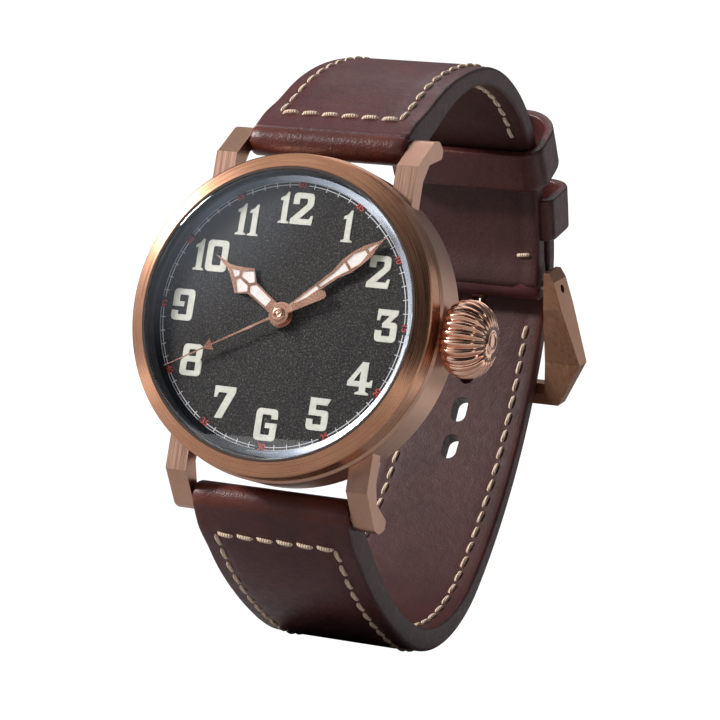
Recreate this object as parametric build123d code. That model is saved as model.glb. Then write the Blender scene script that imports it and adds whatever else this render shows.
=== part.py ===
"""Pilot watch with an onion crown, on a buckled leather strap.

Frame: +X points to 3 o'clock, +Z to 12 o'clock, and the dial faces -Y. The origin is the
centre of the case back's outer face. Lengths are in millimetres and angles in degrees.
Pieces of the watch head are drawn lying on the case back, with z as the height above it,
and then stood up by STAND. The strap and buckle are drawn standing.
"""
import os
from math import acos, atan2, cos, degrees, hypot, pi, radians, sin, sqrt

from build123d import *

# General values
FULL_TURN = 360.0
HALF_TURN = FULL_TURN / 2
QUARTER_TURN = FULL_TURN / 4
OVERRUN = 1.0
RUNNING = 0.05
SEAT = 0.02
SOFT_CLEARANCE = 0.3

# Head: plan sizes
CASE_DIAMETER = 45.0
BEZEL_WALL = 2.8
CRYSTAL_GASKET_WALL = 0.35
DIAL_INSIDE_CRYSTAL = 0.4
CHAMBER_INSIDE_DIAL = 0.6
BACK_THREAD_WALL = 0.3
CASE_RADIUS = CASE_DIAMETER / 2
CRYSTAL_RADIUS = CASE_RADIUS - BEZEL_WALL
DIAL_RADIUS = CRYSTAL_RADIUS - DIAL_INSIDE_CRYSTAL
CHAMBER_RADIUS = DIAL_RADIUS - CHAMBER_INSIDE_DIAL
BACK_THREAD_RADIUS = CHAMBER_RADIUS + BACK_THREAD_WALL

# Head: the stack of heights, from the case back to the dial
BACK_FLOOR = 1.8
ROTOR_AIR = 1.45
ROTOR_RIM_HEIGHT = 1.25
ROTOR_GAP = 0.25
BRIDGE_THICKNESS = 1.1
PLATE_THICKNESS = 4.6
DIAL_THICKNESS = 0.45
ROTOR_LOW = BACK_FLOOR + ROTOR_AIR
BRIDGE_LOW = ROTOR_LOW + ROTOR_RIM_HEIGHT + ROTOR_GAP
PLATE_LOW = BRIDGE_LOW + BRIDGE_THICKNESS
PLATE_HIGH = PLATE_LOW + PLATE_THICKNESS
DIAL_HIGH = PLATE_HIGH + DIAL_THICKNESS

# Mid-case
CASE_BOTTOM = 1.2
CASE_UNDERCUT = 1.6
CASE_BOTTOM_RADIUS = CASE_RADIUS - CASE_UNDERCUT
FLANK_LOW = 3.8
CASE_TOP_BELOW_DIAL = 1.1
CASE_TOP_CHAMFER = 0.35
COLLAR_WALL = 0.65
COLLAR_OUTSIDE_DIAL = 0.5
COLLAR_BORE_RADIUS = DIAL_RADIUS + COLLAR_OUTSIDE_DIAL
COLLAR_RADIUS = COLLAR_BORE_RADIUS + COLLAR_WALL
COLLAR_HEIGHT = 1.7
CASE_TOP = DIAL_HIGH - CASE_TOP_BELOW_DIAL
BACK_BORE_DEPTH = 2.1

# Lugs
LUG_GAP = 24.0
LUG_WIDTH = 3.1
LUG_TIP_BEYOND_CASE = 4.5
LUG_TIP_REACH = CASE_RADIUS + LUG_TIP_BEYOND_CASE
LUG_FRONT_BELOW_TOP = 1.1
LUG_CREASE_INSIDE_CASE = 0.3
LUG_CREASE_REACH = CASE_RADIUS - LUG_CREASE_INSIDE_CASE
LUG_CREASE_STEP = 0.16
LUG_ARM_THICKNESS = 2.6
LUG_SHOULDER_INSIDE_CASE = 1.9
LUG_SHOULDER_REACH = CASE_RADIUS - LUG_SHOULDER_INSIDE_CASE
LUG_TIP_LOW = 0.9
LUG_TIP_RADIUS = 1.7
LUG_HEEL_BEFORE_TIP = 2.1
LUG_HEEL_REACH = LUG_TIP_REACH - LUG_HEEL_BEFORE_TIP
LUG_FACET_DROP = 4.4
LUG_FACET_REACH = 4.4
LUG_ROOT_INSIDE_CASE = 9.5
LUG_ROOT_REACH = CASE_RADIUS - LUG_ROOT_INSIDE_CASE
BAR_BEFORE_TIP = 2.0
BAR_REACH = LUG_TIP_REACH - BAR_BEFORE_TIP
BAR_HEIGHT = 4.3
SPRING_BAR_RADIUS = 0.9
SPRING_BAR_TIP_RADIUS = 0.5
SPRING_BAR_TIP_LENGTH = 0.8
LUG_HOLE_RADIUS = 0.55
LUG_HOLE_DEPTH = 1.1

# Bezel, crystal and the ring under it
BEZEL_GROOVE = 0.2
BEZEL_FOOT_INSIDE_CASE = 0.3
BEZEL_LEAN = 0.15
BEZEL_FOOT_RADIUS = CASE_RADIUS - BEZEL_FOOT_INSIDE_CASE
BEZEL_EDGE_RADIUS = BEZEL_FOOT_RADIUS - BEZEL_LEAN
BEZEL_EDGE_ABOVE_DIAL = 1.62
BEZEL_LIP_ABOVE_DIAL = 2.46
BEZEL_EDGE_BREAK = 0.18
CRYSTAL_SEAT_ABOVE_DIAL = 1.3
CRYSTAL_EDGE = 1.2
CRYSTAL_DOME = 1.2
CRYSTAL_HOLLOW = 1.05
FLANGE_LEDGE = 0.35
FLANGE_BORE_RADIUS = DIAL_RADIUS - FLANGE_LEDGE
FLANGE_TOP_BORE_RADIUS = DIAL_RADIUS
CRYSTAL_SEAT = DIAL_HIGH + CRYSTAL_SEAT_ABOVE_DIAL
GASKET_OUTER_RADIUS = CRYSTAL_RADIUS + CRYSTAL_GASKET_WALL

# Case back
BACK_FLANGE_INSIDE_CASE = 0.4
BACK_FLANGE_RADIUS = CASE_BOTTOM_RADIUS - BACK_FLANGE_INSIDE_CASE
BACK_FLANGE_THICKNESS = 0.85
BACK_BEVEL = 2.3
BACK_WALL = 1.4
BACK_FACE_RADIUS = BACK_FLANGE_RADIUS - BACK_BEVEL
BACK_CAVITY_RADIUS = BACK_THREAD_RADIUS - BACK_WALL
BACK_THREAD_HEIGHT = 1.9
BACK_NOTCH_COUNT = 6
BACK_NOTCH_WIDTH = 2.6
BACK_NOTCH_DEPTH = 1.3
BACK_GASKET_GAP = 0.25
BACK_GASKET_BORE_RADIUS = BACK_THREAD_RADIUS + BACK_GASKET_GAP
BACK_GASKET_WIDTH = 0.7
BACK_GASKET_HEIGHT = 0.5

# Crown, its tube and the stem
STEM_INTO_PLATE = 0.85
STEM_HEIGHT = PLATE_LOW + STEM_INTO_PLATE
STEM_RADIUS = 0.5
STEM_INNER_END = 8.6
CROWN_RADIUS = 5.3
CROWN_GAP = 0.55
CROWN_LENGTH = 5.5
CROWN_BELLY = 2.2
CROWN_MERIDIAN_RADIUS = 3.4
CROWN_END_DISC_RADIUS = 1.75
CROWN_END_DISC_RISE = 0.18
CROWN_FLUTES = 24
CROWN_STATIONS = 7
FLUTE_DEPTH = 0.42
FLUTE_END_DEPTH = 0.16
RIDGE_SHARE = 0.34
CROWN_BORE_DEPTH = 2.7
TUBE_RADIUS = 1.45
TUBE_BORE_RADIUS = 0.95
TUBE_INTO_CROWN = 2.35
STEM_THREAD_DEPTH = 1.4
CROWN_GASKET_WALL = 0.38
CROWN_GASKET_LENGTH = 0.5
CROWN_GASKET_FROM_MOUTH = 0.55
CROWN_START = CASE_RADIUS + CROWN_GAP

# Dial, hands
DIAL_HOLE_RADIUS = 1.15
HOUR_TUBE_RADIUS = 0.95
HOUR_TUBE_BORE = 0.7
MINUTE_TUBE_RADIUS = 0.64
MINUTE_TUBE_BORE = 0.34
SECONDS_ARBOR_RADIUS = 0.28
HOUR_HAND_LIFT = 0.3
HAND_THICKNESS = 0.16
HAND_SPACING = 0.2
SECONDS_HAND_THICKNESS = 0.12
HOUR_HAND_LENGTH = 13.2
MINUTE_HAND_LENGTH = 17.9
SECONDS_HAND_LENGTH = 18.0
SECONDS_TAIL_LENGTH = 7.2
SECONDS_ARROW_REACH = 12.0
HOUR_HUB_RADIUS = 1.75
MINUTE_HUB_RADIUS = 1.5
SECONDS_HUB_RADIUS = 1.4
LUME_THICKNESS = 0.1
HOUR_HAND_ANGLE = -56.2
MINUTE_HAND_ANGLE = 49.7
SECONDS_HAND_ANGLE = -118.5

# Outlines of the hands and of their open cells: reach and half width, as shares of the hand's length
HOUR_OUTLINE_SHARES = (
    (0.0, 0.061), (0.436, 0.0735), (0.558, 0.165), (0.636, 0.111),
    (0.735, 0.053), (0.803, 0.024), (0.864, 0.019))
HOUR_STEM_CELL_SHARES = ((0.189, 0.044), (0.424, 0.053))
HOUR_STEM_CELL_TOP_SHARE = 0.47
HOUR_SIDE_CELL_SHARES = ((0.64, 0.055), (0.54, 0.138), (0.458, 0.061), (0.496, 0.016), (0.617, 0.016))
HOUR_FRONT_CELL_SHARES = ((0.67, 0.042), (0.753, 0.0))
HOUR_FRONT_CELL_FOOT_SHARE = 0.644
MINUTE_OUTLINE_SHARES = (
    (0.0, 0.017), (0.385, 0.031), (0.525, 0.036), (0.637, 0.064),
    (0.76, 0.0615), (0.849, 0.045), (0.916, 0.02))
MINUTE_CELL_SHARES = (
    ((0.145, 0.011), (0.358, 0.017)),
    ((0.377, 0.012), (0.52, 0.017), (0.631, 0.036)),
    ((0.654, 0.037), (0.727, 0.046), (0.816, 0.019)),
    ((0.838, 0.015), (0.922, 0.004)))
SECONDS_OUTLINE_SHARES = ((0.0, 0.01), (1.0, 0.003))
SECONDS_TAIL_SHARES = ((0.0, 0.05), (0.94, 0.087), (1.0, 0.05))
SECONDS_ARROW_SHARES = ((0.87, 0.072), (1.0, 0.0))

# Movement
MOVEMENT_RADIUS = 14.0
BRIDGE_RADIUS = 13.7
BRIDGE_SPLIT = 2.0
BRIDGE_GAP = 0.15
RING_LIP_RADIUS = 13.85
GEAR_MODULE = 0.125
TRAIN_WHEEL_THICKNESS = 0.2
LEVEL_GAP = 0.2
PINION_LEAVES = 8
PINION_OVERLAP = 0.05
CENTRE_WHEEL_TEETH = 64
THIRD_WHEEL_TEETH = 60
FOURTH_WHEEL_TEETH = 60
FOURTH_MODULE = 0.134
ESCAPE_PINION_LEAVES = 6
ESCAPE_WHEEL_TEETH = 15
ESCAPE_WHEEL_RADIUS = 1.9
ESCAPE_ROOT_RADIUS = 1.45
BARREL_TEETH = 52
CENTRE_PINION_LEAVES = 8
BARREL_MODULE = 0.2175
BARREL_HEIGHT = 1.25
BARREL_TOOTH_HEIGHT = 0.25
BARREL_ARBOR_RADIUS = 0.7
ARBOR_RADIUS = 0.2
ESCAPE_ARBOR_RADIUS = 0.17
CENTRE_ARBOR_RADIUS = 0.48
PIVOT_DEPTH = 0.45
PIVOT_FROM_BRIDGE_FACE = 0.1
POCKET_AIR = 0.35
POCKET_FLOOR = 1.6
MOTION_RECESS = 1.05
MOTION_MODULE = 0.14
CANNON_LEAVES = 12
MINUTE_WHEEL_TEETH = 36
MINUTE_PINION_LEAVES = 10
HOUR_WHEEL_TEETH = 40
MINUTE_WHEEL_DIRECTION = 62.0
MINUTE_POST_RADIUS = 0.3
THIRD_WHEEL_DIRECTION = -62.0
ESCAPE_DIRECTION = -142.0
BARREL_DIRECTION = 120.0
BALANCE_REACH = 8.6
BALANCE_DIRECTION = -90.0
BALANCE_RADIUS = 3.2
BALANCE_RIM = 0.45
BALANCE_HEIGHT = 0.45
BALANCE_HUB_RADIUS = 0.55
BALANCE_SPOKE_WIDTH = 0.4
ROLLER_RADIUS = 0.5
FORK_REACH = 2.75
FORK_HALF_SPAN = 0.9
FORK_TAB_RADIUS = 0.55
FORK_STEM_WIDTH = 0.3
FORK_PALLET_GAP = 0.17
HAIRSPRING_INNER_RADIUS = 0.7
HAIRSPRING_PITCH = 0.28
HAIRSPRING_TURNS = 6
HAIRSPRING_WIDTH = 0.07
HAIRSPRING_HEIGHT = 0.15
HAIRSPRING_STEPS = 14
COCK_WIDTH = 2.4
COCK_HEAD_RADIUS = 1.3
COCK_FOOT_RADIUS = 12.45
COCK_FOOT_SPREAD = 18.0
COCK_SCREW_REACH = 13.05
JEWEL_RADIUS = 0.6
JEWEL_THICKNESS = 0.5
SCREW_RADIUS = 0.5
SCREW_DEPTH = 1.6
BRIDGE_SCREW_REACH = 12.4
BRIDGE_SCREW_ANGLES = (25.0, 150.0, -20.0, -165.0)
ROTOR_RADIUS = 13.6
ROTOR_RIM_WIDTH = 2.3
ROTOR_WEB = 0.45
ROTOR_POST_RADIUS = 1.5
ROTOR_HUB_RADIUS = 2.6
ROTOR_SPREAD = 172.0

# Strap
STRAP_WIDTH = LUG_GAP - 2 * SOFT_CLEARANCE
STRAP_END_WIDTH = 21.6
STRAP_FOLD_THICKNESS = 4.3
STRAP_LUG_THICKNESS = 4.7
LUG_FOLD_LENGTH = 4.0
UPPER_STRAP_THICKNESS = 2.9
LOWER_STRAP_THICKNESS = 2.7
LOWER_STRAP_BEND_THICKNESS = 3.6
PADDING_START = 8.0
PADDING_END = 28.0
STRAP_EDGE_RADIUS = 0.55
STRAP_STATIONS = 17
UPPER_HEADING = 44.0
UPPER_STRAIGHT = 11.5
UPPER_SHOULDER_RADIUS = 34.0
UPPER_SHOULDER_TURN = 28.0
UPPER_CREST_RADIUS = 28.0
UPPER_CREST_TURN = 73.0
UPPER_BACK_RADIUS = 67.0
UPPER_BACK_TURN = 12.0
LOWER_HEADING = -45.0
LOWER_SHOULDER_RADIUS = 52.0
LOWER_SHOULDER_TURN = 35.0
LOWER_TURN_RADIUS = 23.0
LOWER_TURN_TURN = 65.0
TAIL_BEND_RADIUS = 14.0
TAIL_BEND_EXTRA = 4.0
TAIL_PAST_BAR = 15.5
TIP_LENGTH = 8.0
TIP_END_SHARE = 0.3
TIP_SHARES = (0.35, 0.62, 0.82, 0.94, 1.0)
HOLE_COUNT = 7
HOLES_PAST_TONGUE = 2
HOLE_PITCH = 6.4
HOLE_WIDTH = 2.4
HOLE_LENGTH = 3.5

# Buckle
BUCKLE_BAR_RADIUS = 0.9
BUCKLE_BAR_TIP_RADIUS = 0.6
FOLD_WALL = 1.2
BUCKLE_REACH = 16.8
FREE_BAR_WIDTH = 3.1
BUCKLE_TOP_RISE = 2.8
BUCKLE_SIDE_GAP = 1.3
BUCKLE_HINGE_ARM = 1.7
BUCKLE_TOP_ARM = 0.8
BUCKLE_WIDEST_ARM = 5.75
BUCKLE_END_ARM = 2.3
BUCKLE_WIDEST_REACH = 11.6
BUCKLE_OPENING_HALF_WIDTH = STRAP_END_WIDTH / 2 + BUCKLE_SIDE_GAP
BUCKLE_HINGE_HALF_WIDTH = BUCKLE_OPENING_HALF_WIDTH + BUCKLE_HINGE_ARM
BUCKLE_TOP_HALF_WIDTH = BUCKLE_OPENING_HALF_WIDTH + BUCKLE_TOP_ARM
BUCKLE_WIDEST_HALF_WIDTH = BUCKLE_OPENING_HALF_WIDTH + BUCKLE_WIDEST_ARM
BUCKLE_END_HALF_WIDTH = BUCKLE_OPENING_HALF_WIDTH + BUCKLE_END_ARM
BUCKLE_HINGE_THICKNESS = 5.2
BUCKLE_END_THICKNESS = 3.1
FREE_BAR_BEVEL_DEPTH = 0.7
FREE_BAR_BEVEL_LENGTH = 1.4
BUCKLE_HOLE_RADIUS = 0.65
BUCKLE_BAR_INSET = 0.5
TONGUE_WIDTH = 2.0
TONGUE_THICKNESS = 1.4
TONGUE_RING_RADIUS = 1.75
TONGUE_SLOT_WIDTH = 2.9
TONGUE_SLOT_LENGTH = 5.2
TONGUE_TIP_OVERHANG = 1.6
TONGUE_CROSSING_REACH = 2.9
TONGUE_HUMP_REACH = 5.4
TONGUE_HUMP_GAP = 0.5
TONGUE_INNER_GAP = 0.5

# Keepers
KEEPER_WALL = 1.35
KEEPER_WIDTH = 6.6
KEEPER_SIDE_GAP = 0.6
FIXED_KEEPER_REACH = 10.7
FIXED_KEEPER_CORNER = 0.4
FIXED_KEEPER_BEND = 3.2
FREE_KEEPER_REACH = 20.7
FREE_KEEPER_CORNER = 1.9
FREE_KEEPER_BEND = 5.2
FREE_KEEPER_INNER_GAP = 1.0
FIXED_KEEPER_TAIL_ROOM = 3.75
FREE_KEEPER_TAIL_ROOM = 2.4

# Shares of the module, of the tooth pitch and of the wheel's radius
TOOTH_TIP_SHARE = 0.75
TOOTH_ROOT_SHARE = 1.2
TOOTH_LEAN_SHARE = 0.14
HUB_SHARE = 0.28
RIM_SHARE = 0.8
SPOKE_SHARE = 0.14

# The head lies on its back while it is drawn: this stands it up, dial to -Y
STAND = Location(Plane(origin=(0, 0, 0), x_dir=(1, 0, 0), z_dir=(0, -1, 0)))


def turned(*corners):
    """A turned piece: corners are (radius, height above the case back face)."""
    outline = Plane.XZ * make_face(Polyline(*corners, close=True))
    return revolve(outline, Axis.Z, FULL_TURN)


def disc(radius, low, high, at=(0, 0), bore=0):
    """A round plate between two heights, with an optional hole."""
    face = Circle(radius)
    if bore:
        face -= Circle(bore)
    return Pos(at[0], at[1], low) * extrude(face, high - low)


def polar(radius, angle):
    """A place in the dial's plane: 0 degrees is 3 o'clock and 90 is 12 o'clock."""
    return (radius * cos(radians(angle)), radius * sin(radians(angle)))


def toothed(teeth, root, tip, phase, lean=0.0):
    """The outline of a wheel with pointed teeth, one of them at the angle phase."""
    step = FULL_TURN / teeth
    corners = []
    for number in range(teeth):
        middle = phase + number * step
        corners.append(polar(tip, middle + lean * step))
        corners.append(polar(root, middle + step / 2))
    return make_face(Polyline(*corners, close=True))


def wheel(teeth, module, low, high, bore, phase, spokes=0):
    """A gear on the axis, between two heights, with open windows between its spokes."""
    pitch = teeth * module / 2
    face = toothed(teeth, pitch - TOOTH_ROOT_SHARE * module, pitch + TOOTH_TIP_SHARE * module, phase)
    if spokes:
        face -= windows(pitch * HUB_SHARE, pitch * RIM_SHARE, pitch * SPOKE_SHARE, spokes)
    if bore:
        face -= Circle(bore)
    return Pos(0, 0, low) * extrude(face, high - low)


def windows(inner, outer, width, spokes):
    """The openings between the spokes of a wheel."""
    opening = Circle(outer) - Circle(inner)
    for number in range(spokes):
        opening -= Rot(0, 0, number * FULL_TURN / spokes) * Pos(outer / 2, 0) * Rectangle(outer, width)
    return opening


# Mid-case, lugs, bezel and crystal

def lug():
    """One lug as a prism: a flat arm, a crease, a sloping facet and a rounded tip."""
    front = CASE_TOP - LUG_FRONT_BELOW_TOP
    under = front - LUG_ARM_THICKNESS
    facet_end = LUG_CREASE_REACH + LUG_FACET_REACH
    outline = Polyline(
        (LUG_ROOT_REACH, front),
        (LUG_CREASE_REACH, front),
        (LUG_CREASE_REACH, front - LUG_CREASE_STEP),
        (facet_end, front - LUG_FACET_DROP),
        (LUG_TIP_REACH, front - LUG_FACET_DROP - LUG_TIP_RADIUS),
        (LUG_TIP_REACH - LUG_TIP_RADIUS / 2, LUG_TIP_LOW),
        (LUG_HEEL_REACH, LUG_TIP_LOW),
        (LUG_SHOULDER_REACH + LUG_ARM_THICKNESS, under - LUG_ARM_THICKNESS / 2),
        (LUG_SHOULDER_REACH, under),
        (LUG_ROOT_REACH, under),
        close=True,
    )
    face = Plane.YZ * make_face(outline)
    block = extrude(face, LUG_WIDTH)
    across = block.edges().filter_by(Axis.X)
    tip = across.filter_by(lambda edge: edge.center().Y > facet_end - LUG_TIP_RADIUS)
    block = fillet(tip.filter_by(lambda edge: edge.center().Z > LUG_TIP_LOW + SEAT), LUG_TIP_RADIUS)
    low = block.edges().filter_by(Axis.X).filter_by(lambda edge: abs(edge.center().Z - LUG_TIP_LOW) < SEAT)
    block = fillet(low, LUG_TIP_RADIUS / 3)
    return Pos(LUG_GAP / 2, 0, 0) * block


def mid_case():
    """The case middle with its four lugs, in one piece as it is milled."""
    ring = turned(
        (BACK_THREAD_RADIUS, CASE_BOTTOM),
        (CASE_BOTTOM_RADIUS, CASE_BOTTOM),
        (CASE_RADIUS, FLANK_LOW),
        (CASE_RADIUS, CASE_TOP - CASE_TOP_CHAMFER),
        (CASE_RADIUS - CASE_TOP_CHAMFER, CASE_TOP),
        (COLLAR_RADIUS, CASE_TOP),
        (COLLAR_RADIUS, CASE_TOP + COLLAR_HEIGHT),
        (COLLAR_BORE_RADIUS, CASE_TOP + COLLAR_HEIGHT),
        (COLLAR_BORE_RADIUS, PLATE_HIGH),
        (CHAMBER_RADIUS, PLATE_HIGH),
        (CHAMBER_RADIUS, CASE_BOTTOM + BACK_BORE_DEPTH),
        (BACK_THREAD_RADIUS, CASE_BOTTOM + BACK_BORE_DEPTH),
    )
    one = lug()
    other = mirror(one, Plane.YZ)
    lugs = one + other + mirror(one, Plane.XZ) + mirror(other, Plane.XZ)
    inside = disc(CASE_RADIUS - LUG_WIDTH / 2, -OVERRUN, DIAL_HIGH + OVERRUN)
    body = ring + (lugs - inside)
    groove = disc(BACK_GASKET_BORE_RADIUS + BACK_GASKET_WIDTH, CASE_BOTTOM, CASE_BOTTOM + BACK_GASKET_HEIGHT)
    body -= groove - disc(BACK_GASKET_BORE_RADIUS, CASE_BOTTOM, CASE_BOTTOM + BACK_GASKET_HEIGHT)
    for side in (1, -1):
        hole = Rot(0, QUARTER_TURN, 0) * Cylinder(LUG_HOLE_RADIUS, LUG_GAP + 2 * LUG_HOLE_DEPTH)
        body -= Pos(0, side * BAR_REACH, BAR_HEIGHT) * hole
    tube_hole = Rot(0, QUARTER_TURN, 0) * Cylinder(TUBE_RADIUS, CASE_RADIUS)
    body -= Pos(CASE_RADIUS, 0, STEM_HEIGHT) * tube_hole
    return body


def bezel():
    """The bezel: a steep side, a sloping top and a lip round the crystal."""
    return turned(
        (COLLAR_RADIUS + SEAT, CASE_TOP + BEZEL_GROOVE),
        (BEZEL_FOOT_RADIUS, CASE_TOP + BEZEL_GROOVE),
        (BEZEL_EDGE_RADIUS, DIAL_HIGH + BEZEL_EDGE_ABOVE_DIAL - BEZEL_EDGE_BREAK),
        (BEZEL_EDGE_RADIUS - BEZEL_EDGE_BREAK, DIAL_HIGH + BEZEL_EDGE_ABOVE_DIAL),
        (GASKET_OUTER_RADIUS, DIAL_HIGH + BEZEL_LIP_ABOVE_DIAL),
        (GASKET_OUTER_RADIUS, CRYSTAL_SEAT),
        (COLLAR_BORE_RADIUS, CRYSTAL_SEAT),
        (COLLAR_BORE_RADIUS, CASE_TOP + COLLAR_HEIGHT),
        (COLLAR_RADIUS + SEAT, CASE_TOP + COLLAR_HEIGHT),
    )


def dome(radius, rise, height):
    """A solid cap of a ball: its rim has this radius and height, its top is rise higher."""
    ball_radius = (radius ** 2 + rise ** 2) / (2 * rise)
    ball = Pos(0, 0, height + rise - ball_radius) * Sphere(ball_radius)
    return ball & disc(radius, height, height + rise + OVERRUN)


def crystal():
    """The domed crystal, hollow below and domed above."""
    edge_high = CRYSTAL_SEAT + CRYSTAL_EDGE
    body = disc(CRYSTAL_RADIUS, CRYSTAL_SEAT, edge_high) + dome(CRYSTAL_RADIUS, CRYSTAL_DOME, edge_high)
    hollow_radius = FLANGE_TOP_BORE_RADIUS
    body -= dome(hollow_radius, CRYSTAL_HOLLOW, CRYSTAL_SEAT)
    return body


def crystal_gasket():
    return disc(GASKET_OUTER_RADIUS, CRYSTAL_SEAT, CRYSTAL_SEAT + CRYSTAL_EDGE, bore=CRYSTAL_RADIUS)


def flange_ring():
    """The sloping ring between dial and crystal."""
    return turned(
        (FLANGE_BORE_RADIUS, DIAL_HIGH),
        (COLLAR_BORE_RADIUS - SEAT, DIAL_HIGH),
        (COLLAR_BORE_RADIUS - SEAT, CRYSTAL_SEAT),
        (FLANGE_TOP_BORE_RADIUS, CRYSTAL_SEAT),
    )


def case_back():
    """The screwed case back: a flange with notches, a raised face and a threaded skirt."""
    flange_low = CASE_BOTTOM - BACK_FLANGE_THICKNESS
    body = turned(
        (0, 0),
        (BACK_FACE_RADIUS, 0),
        (BACK_FACE_RADIUS + flange_low, flange_low),
        (BACK_FLANGE_RADIUS - flange_low, flange_low),
        (BACK_FLANGE_RADIUS, 2 * flange_low),
        (BACK_FLANGE_RADIUS, CASE_BOTTOM),
        (BACK_THREAD_RADIUS, CASE_BOTTOM),
        (BACK_THREAD_RADIUS, CASE_BOTTOM + BACK_THREAD_HEIGHT),
        (BACK_CAVITY_RADIUS, CASE_BOTTOM + BACK_THREAD_HEIGHT),
        (BACK_CAVITY_RADIUS, BACK_FLOOR),
        (0, BACK_FLOOR),
    )
    for number in range(BACK_NOTCH_COUNT):
        notch = Box(2 * BACK_NOTCH_DEPTH, BACK_NOTCH_WIDTH, 2 * BACK_FLANGE_THICKNESS)
        turn = Rot(0, 0, (number + 0.5) * FULL_TURN / BACK_NOTCH_COUNT)
        body -= turn * Pos(BACK_FLANGE_RADIUS, 0, flange_low) * notch
    return body


def case_back_gasket():
    low = CASE_BOTTOM
    return disc(BACK_GASKET_BORE_RADIUS + BACK_GASKET_WIDTH, low, low + BACK_GASKET_HEIGHT,
                bore=BACK_GASKET_BORE_RADIUS)


# Crown and stem

def along_stem(radius, start, end, bore=0):
    """A round piece on the stem's axis, from one distance off the centre to another."""
    face = Circle(radius)
    if bore:
        face -= Circle(bore)
    return Pos(start, 0, STEM_HEIGHT) * Rot(0, QUARTER_TURN, 0) * extrude(face, end - start)


def crown_section(angle):
    """The fluted outline at an angle along the crown's rounded side, 90 degrees at its belly."""
    centre_radius = CROWN_RADIUS - CROWN_MERIDIAN_RADIUS
    ridge = centre_radius + CROWN_MERIDIAN_RADIUS * sin(radians(angle))
    from_disc = max(ridge - CROWN_END_DISC_RADIUS, 0) / (CROWN_RADIUS - CROWN_END_DISC_RADIUS)
    depth = FLUTE_END_DEPTH + (FLUTE_DEPTH - FLUTE_END_DEPTH) * from_disc
    step = FULL_TURN / CROWN_FLUTES
    corners = []
    for number in range(CROWN_FLUTES):
        middle = number * step
        corners.append(polar(ridge, middle - step * RIDGE_SHARE / 2))
        corners.append(polar(ridge, middle + step * RIDGE_SHARE / 2))
        corners.append(polar(ridge - depth, middle + step / 2))
    height = CROWN_BELLY + CROWN_MERIDIAN_RADIUS * cos(radians(angle))
    return Pos(0, 0, height) * make_face(Polyline(*corners, close=True))


def crown():
    """The onion crown: a bellied drum with flutes and a small flat disc on its end."""
    start = degrees(acos(-CROWN_BELLY / CROWN_MERIDIAN_RADIUS))
    end = degrees(acos((CROWN_LENGTH - CROWN_BELLY) / CROWN_MERIDIAN_RADIUS))
    sections = []
    for number in range(CROWN_STATIONS):
        sections.append(crown_section(start + (end - start) * number / (CROWN_STATIONS - 1)))
    body = loft(sections, ruled=True)
    body += disc(CROWN_END_DISC_RADIUS, CROWN_BELLY, CROWN_LENGTH + CROWN_END_DISC_RISE)
    body = Pos(CROWN_START, 0, STEM_HEIGHT) * Rot(0, QUARTER_TURN, 0) * body
    body -= along_stem(TUBE_RADIUS + RUNNING, CROWN_START - OVERRUN, CROWN_START + CROWN_BORE_DEPTH)
    seat = CROWN_START + CROWN_GASKET_FROM_MOUTH
    body -= along_stem(TUBE_RADIUS + CROWN_GASKET_WALL + RUNNING, seat - RUNNING,
                       seat + CROWN_GASKET_LENGTH + RUNNING)
    body -= along_stem(STEM_RADIUS, CROWN_START, CROWN_START + CROWN_BORE_DEPTH + STEM_THREAD_DEPTH)
    return body


def crown_gasket():
    seat = CROWN_START + CROWN_GASKET_FROM_MOUTH
    return along_stem(TUBE_RADIUS + CROWN_GASKET_WALL, seat, seat + CROWN_GASKET_LENGTH,
                      bore=TUBE_RADIUS + RUNNING / 2)


def crown_tube():
    return along_stem(TUBE_RADIUS, CHAMBER_RADIUS, CROWN_START + TUBE_INTO_CROWN, bore=TUBE_BORE_RADIUS)


def winding_stem():
    return along_stem(STEM_RADIUS, STEM_INNER_END, CROWN_START + CROWN_BORE_DEPTH + STEM_THREAD_DEPTH)


# Dial and hands

def dial():
    return disc(DIAL_RADIUS, PLATE_HIGH, DIAL_HIGH, bore=DIAL_HOLE_RADIUS)


HOUR_LOW = DIAL_HIGH + HOUR_HAND_LIFT
MINUTE_LOW = HOUR_LOW + HAND_THICKNESS + HAND_SPACING
SECONDS_LOW = MINUTE_LOW + HAND_THICKNESS + HAND_SPACING


def mirrored(length, shares, start=None, end=None):
    """A shape even about the hand's middle line, from (reach, half width) shares of its length."""
    right = [(width * length, reach * length) for reach, width in shares]
    left = [(-x, y) for x, y in reversed(right)]
    ends = [(0, share * length) for share in (end, start) if share is not None]
    middle = ends[:1] if end is not None else []
    last = ends[-1:] if start is not None else []
    return make_face(Polyline(*right, *middle, *left, *last, close=True))


def hour_cells():
    """The four open cells of the hour hand: one in its stem and three in its bow."""
    length = HOUR_HAND_LENGTH
    side = [(width * length, reach * length) for reach, width in HOUR_SIDE_CELL_SHARES]
    other = [(-x, y) for x, y in side]
    cells = mirrored(length, HOUR_STEM_CELL_SHARES, end=HOUR_STEM_CELL_TOP_SHARE)
    cells += make_face(Polyline(*side, close=True))
    cells += make_face(Polyline(*other, close=True))
    return cells + mirrored(length, HOUR_FRONT_CELL_SHARES[:1], HOUR_FRONT_CELL_FOOT_SHARE,
                            HOUR_FRONT_CELL_SHARES[1][0])


def minute_cells():
    """The four open cells of the minute hand, one behind the other."""
    cells = mirrored(MINUTE_HAND_LENGTH, MINUTE_CELL_SHARES[0])
    for shares in MINUTE_CELL_SHARES[1:]:
        cells += mirrored(MINUTE_HAND_LENGTH, shares)
    return cells


def flat_hand(face, hub_radius, low, thickness, bore, angle):
    """A hand punched from sheet, on its hub, turned clockwise from 12 o'clock by an angle."""
    body = face + Circle(hub_radius) - Circle(bore)
    return Rot(0, 0, -angle) * Pos(0, 0, low) * extrude(body, thickness)


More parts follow.
